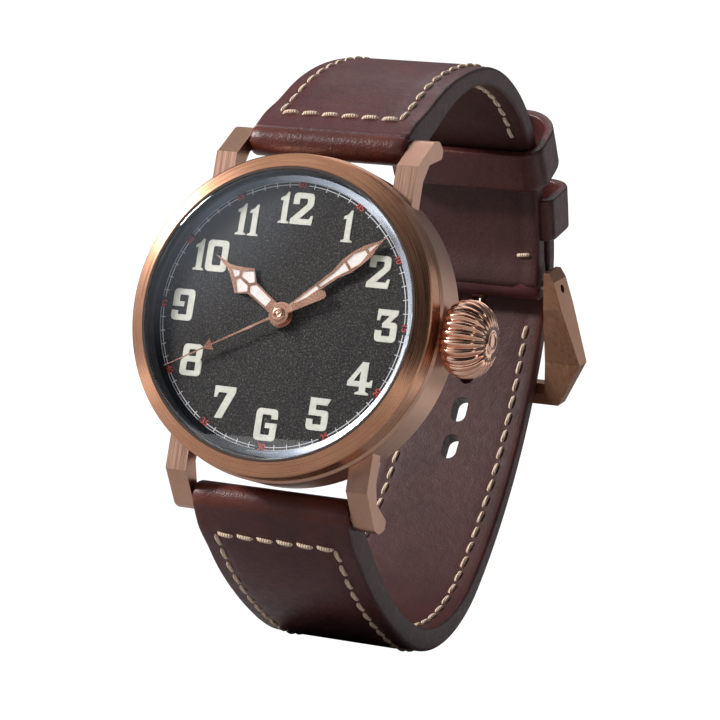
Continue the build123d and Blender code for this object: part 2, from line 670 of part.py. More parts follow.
def lume(cells, low, angle):
    """The luminous filling of a hand's cells, thinner than the hand and level with its back."""
    return Rot(0, 0, -angle) * Pos(0, 0, low) * extrude(cells, LUME_THICKNESS)


def hour_hand():
    face = mirrored(HOUR_HAND_LENGTH, HOUR_OUTLINE_SHARES, end=1) - hour_cells()
    return flat_hand(face, HOUR_HUB_RADIUS, HOUR_LOW, HAND_THICKNESS, HOUR_TUBE_RADIUS, HOUR_HAND_ANGLE)


def hour_hand_lume():
    return lume(hour_cells(), HOUR_LOW, HOUR_HAND_ANGLE)


def minute_hand():
    face = mirrored(MINUTE_HAND_LENGTH, MINUTE_OUTLINE_SHARES, end=1) - minute_cells()
    return flat_hand(face, MINUTE_HUB_RADIUS, MINUTE_LOW, HAND_THICKNESS, MINUTE_TUBE_RADIUS,
                     MINUTE_HAND_ANGLE)


def minute_hand_lume():
    return lume(minute_cells(), MINUTE_LOW, MINUTE_HAND_ANGLE)


def seconds_hand():
    """The seconds hand: a needle with an arrow, and a flared tail that balances it."""
    face = mirrored(SECONDS_HAND_LENGTH, SECONDS_OUTLINE_SHARES)
    face += Rot(0, 0, HALF_TURN) * mirrored(SECONDS_TAIL_LENGTH, SECONDS_TAIL_SHARES)
    face += mirrored(SECONDS_ARROW_REACH, SECONDS_ARROW_SHARES[:1], end=1)
    return flat_hand(face, SECONDS_HUB_RADIUS, SECONDS_LOW, SECONDS_HAND_THICKNESS, SECONDS_ARBOR_RADIUS,
                     SECONDS_HAND_ANGLE)


# Movement: levels and places of the plate, the train and the rotor, seen from the front

POCKET_HIGH = PLATE_HIGH - POCKET_FLOOR
CENTRE_LEVEL = POCKET_HIGH - POCKET_AIR - TRAIN_WHEEL_THICKNESS
BARREL_HIGH = CENTRE_LEVEL - LEVEL_GAP
BARREL_LOW = BARREL_HIGH - BARREL_HEIGHT
CENTRE_PINION_LOW = BARREL_HIGH - BARREL_TOOTH_HEIGHT - LEVEL_GAP / 2
THIRD_LEVEL = CENTRE_PINION_LOW - LEVEL_GAP / 2 - TRAIN_WHEEL_THICKNESS
ESCAPE_LEVEL = THIRD_LEVEL - LEVEL_GAP - TRAIN_WHEEL_THICKNESS
FOURTH_LEVEL = BARREL_LOW - LEVEL_GAP - TRAIN_WHEEL_THICKNESS
BALANCE_LEVEL = PLATE_LOW + HAIRSPRING_HEIGHT + LEVEL_GAP + LEVEL_GAP / 2
PIVOT_LOW = BRIDGE_LOW + PIVOT_FROM_BRIDGE_FACE
PIVOT_HIGH = POCKET_HIGH + PIVOT_DEPTH
RECESS_LOW = PLATE_HIGH - MOTION_RECESS
CANNON_LEVEL = RECESS_LOW + LEVEL_GAP / 2
HOUR_WHEEL_LEVEL = CANNON_LEVEL + TRAIN_WHEEL_THICKNESS + LEVEL_GAP
THIRD_REACH = (CENTRE_WHEEL_TEETH + PINION_LEAVES) * GEAR_MODULE / 2
THIRD_MODULE = 2 * THIRD_REACH / (THIRD_WHEEL_TEETH + PINION_LEAVES)
ESCAPE_REACH = (FOURTH_WHEEL_TEETH + ESCAPE_PINION_LEAVES) * FOURTH_MODULE / 2
BARREL_REACH = (BARREL_TEETH + CENTRE_PINION_LEAVES) * BARREL_MODULE / 2
MINUTE_WHEEL_REACH = (CANNON_LEAVES + MINUTE_WHEEL_TEETH) * MOTION_MODULE / 2
HOUR_MODULE = 2 * MINUTE_WHEEL_REACH / (MINUTE_PINION_LEAVES + HOUR_WHEEL_TEETH)
THIRD_PLACE = polar(THIRD_REACH, THIRD_WHEEL_DIRECTION)
ESCAPE_PLACE = polar(ESCAPE_REACH, ESCAPE_DIRECTION)
BARREL_PLACE = polar(BARREL_REACH, BARREL_DIRECTION)
BALANCE_PLACE = polar(BALANCE_REACH, BALANCE_DIRECTION)
MINUTE_WHEEL_PLACE = polar(MINUTE_WHEEL_REACH, MINUTE_WHEEL_DIRECTION)
BARREL_PITCH_RADIUS = BARREL_TEETH * BARREL_MODULE / 2
THIRD_PITCH_RADIUS = THIRD_WHEEL_TEETH * THIRD_MODULE / 2
CENTRE_PITCH_RADIUS = CENTRE_WHEEL_TEETH * GEAR_MODULE / 2
HOUR_PITCH_RADIUS = HOUR_WHEEL_TEETH * HOUR_MODULE / 2
MINUTE_PITCH_RADIUS = MINUTE_WHEEL_TEETH * MOTION_MODULE / 2
FORK_DIRECTION = degrees(atan2(BALANCE_PLACE[1] - ESCAPE_PLACE[1], BALANCE_PLACE[0] - ESCAPE_PLACE[0]))
FORK_STEP = polar(FORK_REACH, FORK_DIRECTION)
FORK_PLACE = (ESCAPE_PLACE[0] + FORK_STEP[0], ESCAPE_PLACE[1] + FORK_STEP[1])
FORK_TO_BALANCE = hypot(BALANCE_PLACE[0] - FORK_PLACE[0], BALANCE_PLACE[1] - FORK_PLACE[1])
ARBOR_BORE = ARBOR_RADIUS + RUNNING


def arbor(radius, low=PIVOT_LOW, high=PIVOT_HIGH):
    """A plain round arbor from the bridge to the plate."""
    return disc(radius, low, high)


def gap_phase(direction, teeth):
    """The phase that puts a gap between two teeth at this direction."""
    return direction + HALF_TURN / teeth


def main_plate():
    """The main plate, with pockets for the wheels behind and for the hour work in front."""
    body = disc(MOVEMENT_RADIUS, PLATE_LOW, PLATE_HIGH)
    pockets = (
        ((0, 0), CENTRE_PITCH_RADIUS),
        (THIRD_PLACE, THIRD_PITCH_RADIUS),
        (ESCAPE_PLACE, ESCAPE_WHEEL_RADIUS),
        (BARREL_PLACE, BARREL_PITCH_RADIUS),
        (FORK_PLACE, FORK_HALF_SPAN),
        (BALANCE_PLACE, BALANCE_RADIUS),
    )
    for place, radius in pockets:
        body -= disc(radius + 2 * POCKET_AIR, PLATE_LOW - OVERRUN, POCKET_HIGH, at=place)
    recess_high = PLATE_HIGH + OVERRUN
    body -= disc(HOUR_PITCH_RADIUS + POCKET_AIR, RECESS_LOW, recess_high)
    body -= disc(MINUTE_PITCH_RADIUS + POCKET_AIR, RECESS_LOW, recess_high, at=MINUTE_WHEEL_PLACE)
    post_high = HOUR_WHEEL_LEVEL + TRAIN_WHEEL_THICKNESS + LEVEL_GAP
    body += disc(MINUTE_POST_RADIUS, RECESS_LOW, post_high, at=MINUTE_WHEEL_PLACE)
    body -= disc(CENTRE_ARBOR_RADIUS + RUNNING, PLATE_LOW - OVERRUN, recess_high)
    for place in (THIRD_PLACE, ESCAPE_PLACE, FORK_PLACE, BALANCE_PLACE):
        body -= disc(ARBOR_BORE, POCKET_HIGH - OVERRUN, PIVOT_HIGH + RUNNING, at=place)
    body -= disc(BARREL_ARBOR_RADIUS + RUNNING, POCKET_HIGH - OVERRUN, PIVOT_HIGH + RUNNING, at=BARREL_PLACE)
    body -= along_stem(STEM_RADIUS + RUNNING, STEM_INNER_END - POCKET_AIR, MOVEMENT_RADIUS + OVERRUN)
    for place in screw_places():
        body -= disc(SCREW_RADIUS, PLATE_LOW - OVERRUN, PLATE_LOW + SCREW_DEPTH, at=place)
    return body


def movement_ring():
    """The ring that centres the movement: the case back's skirt presses it against the dial."""
    low = CASE_BOTTOM + BACK_THREAD_HEIGHT
    body = turned(
        (MOVEMENT_RADIUS, PLATE_HIGH),
        (CHAMBER_RADIUS - SEAT, PLATE_HIGH),
        (CHAMBER_RADIUS - SEAT, low),
        (RING_LIP_RADIUS, low),
        (RING_LIP_RADIUS, PLATE_LOW),
        (MOVEMENT_RADIUS, PLATE_LOW),
    )
    body -= along_stem(TUBE_RADIUS, RING_LIP_RADIUS - OVERRUN, CHAMBER_RADIUS + OVERRUN)
    return body


def screw_places():
    """Where the screws of the bridges and the cock stand."""
    places = [polar(BRIDGE_SCREW_REACH, angle) for angle in BRIDGE_SCREW_ANGLES]
    return places + [polar(COCK_SCREW_REACH, BALANCE_DIRECTION)]


def bridge(face, bores):
    """A bridge from its outline, with screw holes and the given arbor bores."""
    body = Pos(0, 0, BRIDGE_LOW) * extrude(face, BRIDGE_THICKNESS)
    for place in screw_places():
        body -= disc(SCREW_RADIUS, BRIDGE_LOW - OVERRUN, PLATE_LOW + OVERRUN, at=place)
    for place, radius in bores:
        body -= disc(radius, BRIDGE_LOW - OVERRUN, PLATE_LOW + OVERRUN, at=place)
    return body


def cock_outline(gap):
    """The balance cock's outline, grown by a gap."""
    reach = BRIDGE_RADIUS - BALANCE_REACH
    arm = Pos(reach / 2, 0) * Rectangle(reach + 2 * gap, COCK_WIDTH + 2 * gap)
    head = Circle(COCK_HEAD_RADIUS + gap)
    place = Pos(*BALANCE_PLACE) * Rot(0, 0, BALANCE_DIRECTION)
    spread = COCK_FOOT_SPREAD + degrees(gap / COCK_FOOT_RADIUS)
    big = 2 * BRIDGE_RADIUS
    wedge = make_face(Polyline((0, 0), polar(big, -spread), polar(big, spread), close=True))
    foot = Rot(0, 0, BALANCE_DIRECTION) * (wedge - Circle(COCK_FOOT_RADIUS - gap))
    return (place * (arm + head) + foot) & Circle(BRIDGE_RADIUS)


def barrel_bridge():
    """The bridge over the barrel."""
    area = Rectangle(2 * BRIDGE_RADIUS, 2 * BRIDGE_RADIUS)
    area = Pos(0, BRIDGE_SPLIT + BRIDGE_GAP / 2 + BRIDGE_RADIUS) * area
    return bridge(Circle(BRIDGE_RADIUS) & area, [(BARREL_PLACE, BARREL_ARBOR_RADIUS + RUNNING)])


def train_bridge():
    """The bridge over the going train, open at the balance."""
    area = Rectangle(2 * BRIDGE_RADIUS, 2 * BRIDGE_RADIUS)
    face = Circle(BRIDGE_RADIUS) & (Pos(0, BRIDGE_SPLIT - BRIDGE_GAP / 2 - BRIDGE_RADIUS) * area)
    face -= Pos(*BALANCE_PLACE) * Circle(BALANCE_RADIUS + POCKET_AIR)
    tab_reach = FORK_REACH / 2
    tab = Rot(0, 0, FORK_DIRECTION) * Pos(-tab_reach / 2, 0) * Rectangle(tab_reach, 2 * FORK_TAB_RADIUS)
    face += Pos(*FORK_PLACE) * (tab + Circle(FORK_TAB_RADIUS))
    face -= cock_outline(BRIDGE_GAP)
    body = bridge(face, [(FORK_PLACE, ARBOR_BORE), (THIRD_PLACE, ARBOR_BORE), (ESCAPE_PLACE, ARBOR_BORE)])
    for place in (THIRD_PLACE, ESCAPE_PLACE):
        body -= disc(JEWEL_RADIUS, BRIDGE_LOW - OVERRUN, BRIDGE_LOW + JEWEL_THICKNESS, at=place)
    return body - disc(SECONDS_ARBOR_RADIUS + RUNNING, PIVOT_LOW, PLATE_LOW + OVERRUN)


def balance_cock():
    """The cock that carries the balance's rear pivot."""
    body = bridge(cock_outline(0), [(BALANCE_PLACE, ARBOR_BORE)])
    return body - disc(JEWEL_RADIUS, BRIDGE_LOW - OVERRUN, BRIDGE_LOW + JEWEL_THICKNESS, at=BALANCE_PLACE)


def jewels():
    """The ring jewels pressed into the bridges, as separate solids."""
    rings = []
    for place in (THIRD_PLACE, ESCAPE_PLACE, BALANCE_PLACE):
        rings.append(disc(JEWEL_RADIUS, BRIDGE_LOW, BRIDGE_LOW + JEWEL_THICKNESS, at=place) - disc(
            ARBOR_BORE, BRIDGE_LOW - OVERRUN, BRIDGE_LOW + OVERRUN, at=place))
    return Compound(rings)


def bridge_screws():
    """The screws that hold the bridges and the cock on the plate, as separate solids."""
    screws = []
    for place in screw_places():
        screws.append(disc(SCREW_RADIUS, BRIDGE_LOW, PLATE_LOW + SCREW_DEPTH, at=place))
    return Compound(screws)


def barrel():
    """The barrel: a toothed drum that holds the mainspring, on its arbor."""
    phase = BARREL_DIRECTION + HALF_TURN
    drum_radius = BARREL_PITCH_RADIUS - 2 * BARREL_MODULE
    body = wheel(BARREL_TEETH, BARREL_MODULE, BARREL_HIGH - BARREL_TOOTH_HEIGHT, BARREL_HIGH, 0, phase)
    body += disc(drum_radius, BARREL_LOW, BARREL_HIGH)
    return Pos(*BARREL_PLACE) * (body + arbor(BARREL_ARBOR_RADIUS))


def centre_wheel():
    """The centre wheel, its pinion and its hollow arbor."""
    high = HOUR_LOW
    phase = gap_phase(BARREL_DIRECTION, CENTRE_PINION_LEAVES)
    body = wheel(CENTRE_WHEEL_TEETH, GEAR_MODULE, CENTRE_LEVEL, CENTRE_LEVEL + TRAIN_WHEEL_THICKNESS, 0,
                 THIRD_WHEEL_DIRECTION, spokes=4)
    body += wheel(CENTRE_PINION_LEAVES, BARREL_MODULE, CENTRE_PINION_LOW, CENTRE_LEVEL, 0, phase)
    body += disc(CENTRE_ARBOR_RADIUS, CENTRE_LEVEL, high)
    return body - disc(MINUTE_TUBE_BORE, CENTRE_PINION_LOW - OVERRUN, high + OVERRUN)


def cannon_pinion():
    """The cannon pinion: a tube on the centre arbor that drives the hour work and holds the minute hand."""
    high = MINUTE_LOW + HAND_THICKNESS
    body = disc(MINUTE_TUBE_RADIUS, CANNON_LEVEL, high)
    body += wheel(CANNON_LEAVES, MOTION_MODULE, CANNON_LEVEL, CANNON_LEVEL + TRAIN_WHEEL_THICKNESS, 0,
                  MINUTE_WHEEL_DIRECTION)
    return body - disc(CENTRE_ARBOR_RADIUS + SEAT, CANNON_LEVEL - OVERRUN, high + OVERRUN)


def third_wheel():
    """The third wheel and its pinion."""
    toward_centre = THIRD_WHEEL_DIRECTION + HALF_TURN
    body = wheel(THIRD_WHEEL_TEETH, THIRD_MODULE, THIRD_LEVEL, THIRD_LEVEL + TRAIN_WHEEL_THICKNESS, 0,
                 toward_centre, spokes=4)
    body += wheel(PINION_LEAVES, GEAR_MODULE, CENTRE_LEVEL - PINION_OVERLAP,
                  CENTRE_LEVEL + TRAIN_WHEEL_THICKNESS + PINION_OVERLAP, 0,
                  gap_phase(toward_centre, PINION_LEAVES))
    return Pos(*THIRD_PLACE) * (body + arbor(ARBOR_RADIUS))


def fourth_wheel():
    """The fourth wheel, its pinion and the long arbor that carries the seconds hand."""
    high = SECONDS_LOW + SECONDS_HAND_THICKNESS
    body = wheel(FOURTH_WHEEL_TEETH, FOURTH_MODULE, FOURTH_LEVEL, FOURTH_LEVEL + TRAIN_WHEEL_THICKNESS, 0,
                 ESCAPE_DIRECTION, spokes=4)
    body += wheel(PINION_LEAVES, THIRD_MODULE, THIRD_LEVEL - PINION_OVERLAP,
                  THIRD_LEVEL + TRAIN_WHEEL_THICKNESS + PINION_OVERLAP, 0,
                  gap_phase(THIRD_WHEEL_DIRECTION, PINION_LEAVES))
    return body + disc(SECONDS_ARBOR_RADIUS, PIVOT_LOW + RUNNING, high)


def escape_wheel():
    """The escape wheel with leaning teeth, and its pinion."""
    toward_centre = ESCAPE_DIRECTION + HALF_TURN
    face = toothed(ESCAPE_WHEEL_TEETH, ESCAPE_ROOT_RADIUS, ESCAPE_WHEEL_RADIUS, FORK_DIRECTION,
                   lean=TOOTH_LEAN_SHARE)
    body = Pos(0, 0, ESCAPE_LEVEL) * extrude(face, TRAIN_WHEEL_THICKNESS)
    body += wheel(ESCAPE_PINION_LEAVES, FOURTH_MODULE, FOURTH_LEVEL - PINION_OVERLAP,
                  FOURTH_LEVEL + TRAIN_WHEEL_THICKNESS + PINION_OVERLAP, 0,
                  gap_phase(toward_centre, ESCAPE_PINION_LEAVES))
    return Pos(*ESCAPE_PLACE) * (body + arbor(ESCAPE_ARBOR_RADIUS))


def pallet_fork():
    """The lever: two pallet arms by the escape wheel and a forked tail toward the balance."""
    back = FORK_REACH - ESCAPE_WHEEL_RADIUS - FORK_PALLET_GAP
    tail = FORK_TO_BALANCE - ROLLER_RADIUS - 2 * RUNNING
    half = FORK_STEM_WIDTH / 2
    span = FORK_HALF_SPAN
    right = [(-back, span), (-back + half, span + half), (half, half), (tail - half, half), (tail, 2 * half),
             (tail, half)]
    left = [(x, -y) for x, y in reversed(right)]
    notch = [(tail - half, 0)]
    front = [(-half, 0)]
    face = make_face(Polyline(*right, *notch, *left, *front, close=True)) + Circle(2 * half)
    body = Pos(0, 0, ESCAPE_LEVEL) * extrude(face, TRAIN_WHEEL_THICKNESS)
    body += arbor(ESCAPE_ARBOR_RADIUS)
    return Pos(*FORK_PLACE) * Rot(0, 0, FORK_DIRECTION) * body


def balance_wheel():
    """The balance: a rim on two spokes, its staff and its roller."""
    face = Circle(BALANCE_RADIUS) - windows(BALANCE_HUB_RADIUS, BALANCE_RADIUS - BALANCE_RIM,
                                            BALANCE_SPOKE_WIDTH, 2)
    body = Pos(0, 0, BALANCE_LEVEL) * extrude(face, BALANCE_HEIGHT)
    body += disc(ROLLER_RADIUS, ESCAPE_LEVEL, ESCAPE_LEVEL + TRAIN_WHEEL_THICKNESS)
    return Pos(*BALANCE_PLACE) * (body + arbor(ESCAPE_ARBOR_RADIUS))


def hairspring():
    """The hairspring: a flat spiral between the balance and its cock."""
    inside = []
    outside = []
    for number in range(HAIRSPRING_TURNS * HAIRSPRING_STEPS + 1):
        turns = number / HAIRSPRING_STEPS
        radius = HAIRSPRING_INNER_RADIUS + turns * HAIRSPRING_PITCH
        inside.append(polar(radius, turns * FULL_TURN))
        outside.append(polar(radius + HAIRSPRING_WIDTH, turns * FULL_TURN))
    face = make_face(Polyline(*inside, *reversed(outside), close=True))
    return Pos(*BALANCE_PLACE, PLATE_LOW + LEVEL_GAP / 2) * extrude(face, HAIRSPRING_HEIGHT)


def minute_wheel():
    """The minute wheel and its pinion, which step the minute hand's turns down to the hour hand's."""
    toward_centre = MINUTE_WHEEL_DIRECTION + HALF_TURN
    bore = MINUTE_POST_RADIUS + RUNNING
    body = wheel(MINUTE_WHEEL_TEETH, MOTION_MODULE, CANNON_LEVEL, CANNON_LEVEL + TRAIN_WHEEL_THICKNESS, bore,
                 gap_phase(toward_centre, MINUTE_WHEEL_TEETH))
    body += wheel(MINUTE_PINION_LEAVES, HOUR_MODULE, CANNON_LEVEL + TRAIN_WHEEL_THICKNESS,
                  HOUR_WHEEL_LEVEL + TRAIN_WHEEL_THICKNESS + PINION_OVERLAP, bore, toward_centre)
    return Pos(*MINUTE_WHEEL_PLACE) * body


def hour_wheel():
    """The hour wheel and its tube, which carries the hour hand."""
    body = disc(HOUR_TUBE_RADIUS, HOUR_WHEEL_LEVEL, HOUR_LOW + HAND_THICKNESS)
    body += wheel(HOUR_WHEEL_TEETH, HOUR_MODULE, HOUR_WHEEL_LEVEL,
                  HOUR_WHEEL_LEVEL + TRAIN_WHEEL_THICKNESS, 0,
                  gap_phase(MINUTE_WHEEL_DIRECTION, HOUR_WHEEL_TEETH))
    return body - disc(HOUR_TUBE_BORE, HOUR_WHEEL_LEVEL - OVERRUN, HOUR_LOW + OVERRUN)


def rotor():
    """The winding rotor: a thin half disc with a heavy rim, stored heavy side down."""
    web_high = BRIDGE_LOW - ROTOR_GAP
    web_low = web_high - ROTOR_WEB
    start = -QUARTER_TURN - ROTOR_SPREAD / 2
    big = 2 * ROTOR_RADIUS
    corners = [polar(big, start + ROTOR_SPREAD * number / 4) for number in range(5)]
    sector = make_face(Polyline((0, 0), *corners, close=True)) & Circle(ROTOR_RADIUS)
    web = Pos(0, 0, web_low) * extrude(sector, ROTOR_WEB)
    rim_face = sector - Circle(ROTOR_RADIUS - ROTOR_RIM_WIDTH)
    rim = Pos(0, 0, ROTOR_LOW) * extrude(rim_face, web_high - ROTOR_LOW)
    hub = disc(ROTOR_HUB_RADIUS, web_low, web_high)
    return web + rim + hub - disc(ROTOR_POST_RADIUS + RUNNING, ROTOR_LOW - OVERRUN, BRIDGE_LOW + OVERRUN)


def rotor_bearing():
    """The bearing that the rotor turns on, fixed to the bridge."""
    web_low = BRIDGE_LOW - ROTOR_GAP - ROTOR_WEB
    return disc(ROTOR_POST_RADIUS, web_low, BRIDGE_LOW)


# Strap: each piece follows a path of tangent arcs from its spring bar

def follow(start, heading, legs, distance):
    """The point and heading at a distance along legs of (length, turn)."""
    y, z = start
    left = distance
    for number, (length, turn) in enumerate(legs):
        last = number == len(legs) - 1
        part = left if last else min(left, length)
        swing = turn * part / length
        if abs(turn) > 0:
            radius = length / radians(turn)
            y += radius * (sin(radians(heading + swing)) - sin(radians(heading)))
            z -= radius * (cos(radians(heading + swing)) - cos(radians(heading)))
        else:
            y += part * cos(radians(heading))
            z += part * sin(radians(heading))
        heading += swing
        left -= part
        if left <= 0 and not last:
            break
    return (y, z), heading


def arc_leg(radius, turn):
    return (radius * radians(abs(turn)), turn)


UPPER_START = (-BAR_HEIGHT, BAR_REACH)
UPPER_LEGS = [
    (UPPER_STRAIGHT, 0),
    arc_leg(UPPER_SHOULDER_RADIUS, -UPPER_SHOULDER_TURN),
    arc_leg(UPPER_CREST_RADIUS, -UPPER_CREST_TURN),
    arc_leg(UPPER_BACK_RADIUS, -UPPER_BACK_TURN),
]
UPPER_LENGTH = sum(length for length, turn in UPPER_LEGS)
BUCKLE_BAR, BUCKLE_HEADING = follow(UPPER_START, UPPER_HEADING, UPPER_LEGS, UPPER_LENGTH)
FOLD_RADIUS = BUCKLE_BAR_RADIUS + RUNNING + FOLD_WALL

# The long piece rises to a point beside the buckle's bar, then bends to lie on the short piece
TAIL_OFFSET = FOLD_RADIUS + SOFT_CLEARANCE + LOWER_STRAP_THICKNESS / 2
BESIDE_BAR = (
    BUCKLE_BAR[0] - TAIL_OFFSET * sin(radians(BUCKLE_HEADING)),
    BUCKLE_BAR[1] + TAIL_OFFSET * cos(radians(BUCKLE_HEADING)),
)
LOWER_START = (-BAR_HEIGHT, -BAR_REACH)
LOWER_FIRST = [
    arc_leg(LOWER_SHOULDER_RADIUS, LOWER_SHOULDER_TURN),
    arc_leg(LOWER_TURN_RADIUS, LOWER_TURN_TURN),
]
LOWER_FIRST_LENGTH = sum(length for length, turn in LOWER_FIRST)
RISE_START, RISE_HEADING = follow(LOWER_START, LOWER_HEADING, LOWER_FIRST, LOWER_FIRST_LENGTH)
CHORD = (BESIDE_BAR[0] - RISE_START[0], BESIDE_BAR[1] - RISE_START[1])
RISE_TURN = 2 * (degrees(atan2(CHORD[1], CHORD[0])) - RISE_HEADING)
RISE_RADIUS = hypot(*CHORD) / (2 * sin(radians(RISE_TURN / 2)))
TAIL_TURN = BUCKLE_HEADING + HALF_TURN - (RISE_HEADING + RISE_TURN) + TAIL_BEND_EXTRA
TAIL_BEND_LENGTH = TAIL_BEND_RADIUS * radians(TAIL_TURN)
TAIL_FOLLOW_RADIUS = UPPER_BACK_RADIUS + TAIL_OFFSET
TAIL_FOLLOW_LENGTH = TAIL_PAST_BAR - TAIL_BEND_LENGTH
LOWER_LEGS = LOWER_FIRST + [
    arc_leg(RISE_RADIUS, RISE_TURN),
    (TAIL_BEND_LENGTH, TAIL_TURN),
    (TAIL_FOLLOW_LENGTH, degrees(TAIL_FOLLOW_LENGTH / TAIL_FOLLOW_RADIUS)),
]
LOWER_LENGTH = sum(length for length, turn in LOWER_LEGS)
BESIDE_BAR_DISTANCE = LOWER_FIRST_LENGTH + RISE_RADIUS * radians(RISE_TURN)


def blend(value, start, end, low, high):
    """A smooth change from low to high while value goes from start to end."""
    share = min(max((value - start) / (end - start), 0), 1)
    return low + (high - low) * share * share * (3 - 2 * share)


def lug_thickness(distance, thin):
    """The thickness near the lugs: a tight fold at the bar, then the padding, then thinner."""
    padded = blend(distance, 0, LUG_FOLD_LENGTH, STRAP_FOLD_THICKNESS, STRAP_LUG_THICKNESS)
    return blend(distance, PADDING_START, PADDING_END, padded, thin)


def upper_thickness(distance):
    body = lug_thickness(distance, UPPER_STRAP_THICKNESS)
    return blend(distance, UPPER_LENGTH - TONGUE_SLOT_LENGTH, UPPER_LENGTH - FOLD_RADIUS / 2, body,
                 2 * FOLD_RADIUS)


def lower_thickness(distance):
    if distance < LOWER_FIRST_LENGTH / 2:
        return lug_thickness(distance, LOWER_STRAP_BEND_THICKNESS)
    return blend(distance, LOWER_FIRST_LENGTH / 2, BESIDE_BAR_DISTANCE - PADDING_END,
                 LOWER_STRAP_BEND_THICKNESS, LOWER_STRAP_THICKNESS)


def upper_width(distance):
    return blend(distance, 0, UPPER_LENGTH, STRAP_WIDTH, STRAP_END_WIDTH)


def lower_width(distance):
    body = blend(distance, 0, BESIDE_BAR_DISTANCE, STRAP_WIDTH, STRAP_END_WIDTH)
    into_tip = max(distance - (LOWER_LENGTH - TIP_LENGTH), 0) / TIP_LENGTH
    return body * sqrt(max(1 - into_tip ** 2, 0) * (1 - TIP_END_SHARE ** 2) + TIP_END_SHARE ** 2)


def station(start, heading, legs, distance):
    """The cross-section plane at a distance along a path, its x across the strap."""
    point, direction = follow(start, heading, legs, distance)
    tangent = (0, cos(radians(direction)), sin(radians(direction)))
    return Plane(origin=(0, point[0], point[1]), x_dir=(1, 0, 0), z_dir=tangent)


def strap_section(half_width, half_thickness):
    """A strap's cross-section with its four edges broken."""
    flat = half_width - STRAP_EDGE_RADIUS
    side = half_thickness - STRAP_EDGE_RADIUS
    right = [(flat, -half_thickness), (half_width, -side), (half_width, side), (flat, half_thickness)]
    left = [(-x, y) for x, y in reversed(right)]
    return make_face(Polyline(*right, *left, close=True))


def band(start, heading, legs, distances, width, thickness):
    """A strap lofted through such sections at the given distances."""
    sections = []
    for distance in distances:
        section = strap_section(width(distance) / 2, thickness(distance) / 2)
        sections.append(station(start, heading, legs, distance) * section)
    return loft(sections)


def across(radius, length, place):
    """A cylinder across the strap, centred on the watch's middle plane."""
    return Pos(0, place[0], place[1]) * Rot(0, QUARTER_TURN, 0) * Cylinder(radius, length)


def strap_12():
    """The short strap piece: folded round the spring bar and the buckle's bar, open for the sewn loop."""
    distances = [UPPER_LENGTH * number / (STRAP_STATIONS - 1) for number in range(STRAP_STATIONS)]
    body = band(UPPER_START, UPPER_HEADING, UPPER_LEGS, distances, upper_width, upper_thickness)
    body += across(STRAP_FOLD_THICKNESS / 2, STRAP_WIDTH, UPPER_START)
    body += across(FOLD_RADIUS, STRAP_END_WIDTH, BUCKLE_BAR)
    body -= across(SPRING_BAR_RADIUS + RUNNING, 2 * STRAP_WIDTH, UPPER_START)
    body -= across(BUCKLE_BAR_RADIUS + RUNNING, 2 * STRAP_WIDTH, BUCKLE_BAR)
    slot_plane = station(UPPER_START, UPPER_HEADING, UPPER_LEGS, UPPER_LENGTH)
    slot = Pos(0, 0, -TONGUE_SLOT_LENGTH / 2 + FOLD_RADIUS / 2 + OVERRUN / 2) * Box(
        TONGUE_SLOT_WIDTH, 4 * FOLD_RADIUS, TONGUE_SLOT_LENGTH + FOLD_RADIUS + OVERRUN)
    body -= slot_plane * slot
    pocket_plane = station(UPPER_START, UPPER_HEADING, UPPER_LEGS, UPPER_LENGTH - FIXED_KEEPER_REACH)
    pocket = Box(2 * STRAP_WIDTH, KEEPER_WALL + 2 * SEAT, KEEPER_WIDTH + 2 * SEAT)
    return body - pocket_plane * pocket


TONGUE_HOLE_DISTANCE = BESIDE_BAR_DISTANCE - TONGUE_CROSSING_REACH


def strap_6():
    """The long strap piece, with a round tip and oval holes for the buckle's tongue."""
    main = [BESIDE_BAR_DISTANCE * number / (STRAP_STATIONS - 1) for number in range(STRAP_STATIONS)]
    tip_start = LOWER_LENGTH - TIP_LENGTH
    rest = [(BESIDE_BAR_DISTANCE + tip_start) / 2, tip_start]
    tip = [tip_start + TIP_LENGTH * share for share in TIP_SHARES]
    body = band(LOWER_START, LOWER_HEADING, LOWER_LEGS, main + rest + tip, lower_width, lower_thickness)
    body += across(STRAP_FOLD_THICKNESS / 2, STRAP_WIDTH, LOWER_START)
    body -= across(SPRING_BAR_RADIUS + RUNNING, 2 * STRAP_WIDTH, LOWER_START)
    for number in range(HOLE_COUNT):
        distance = TONGUE_HOLE_DISTANCE + (HOLES_PAST_TONGUE - number) * HOLE_PITCH
        plane = station(LOWER_START, LOWER_HEADING, LOWER_LEGS, distance)
        face = SlotOverall(HOLE_LENGTH, HOLE_WIDTH, QUARTER_TURN)
        hole = Rot(-QUARTER_TURN, 0, 0) * extrude(face, LOWER_STRAP_BEND_THICKNESS, both=True)
        body -= plane * hole
    return body


def spring_bar(place):
    """A spring bar between the lugs, with a slimmer tip at each end."""
    body = across(SPRING_BAR_RADIUS, LUG_GAP - 2 * RUNNING, place)
    return body + across(SPRING_BAR_TIP_RADIUS, LUG_GAP + 2 * SPRING_BAR_TIP_LENGTH, place)


# Buckle: drawn in its own plane, x across, y from the bar to the free end, z outwards

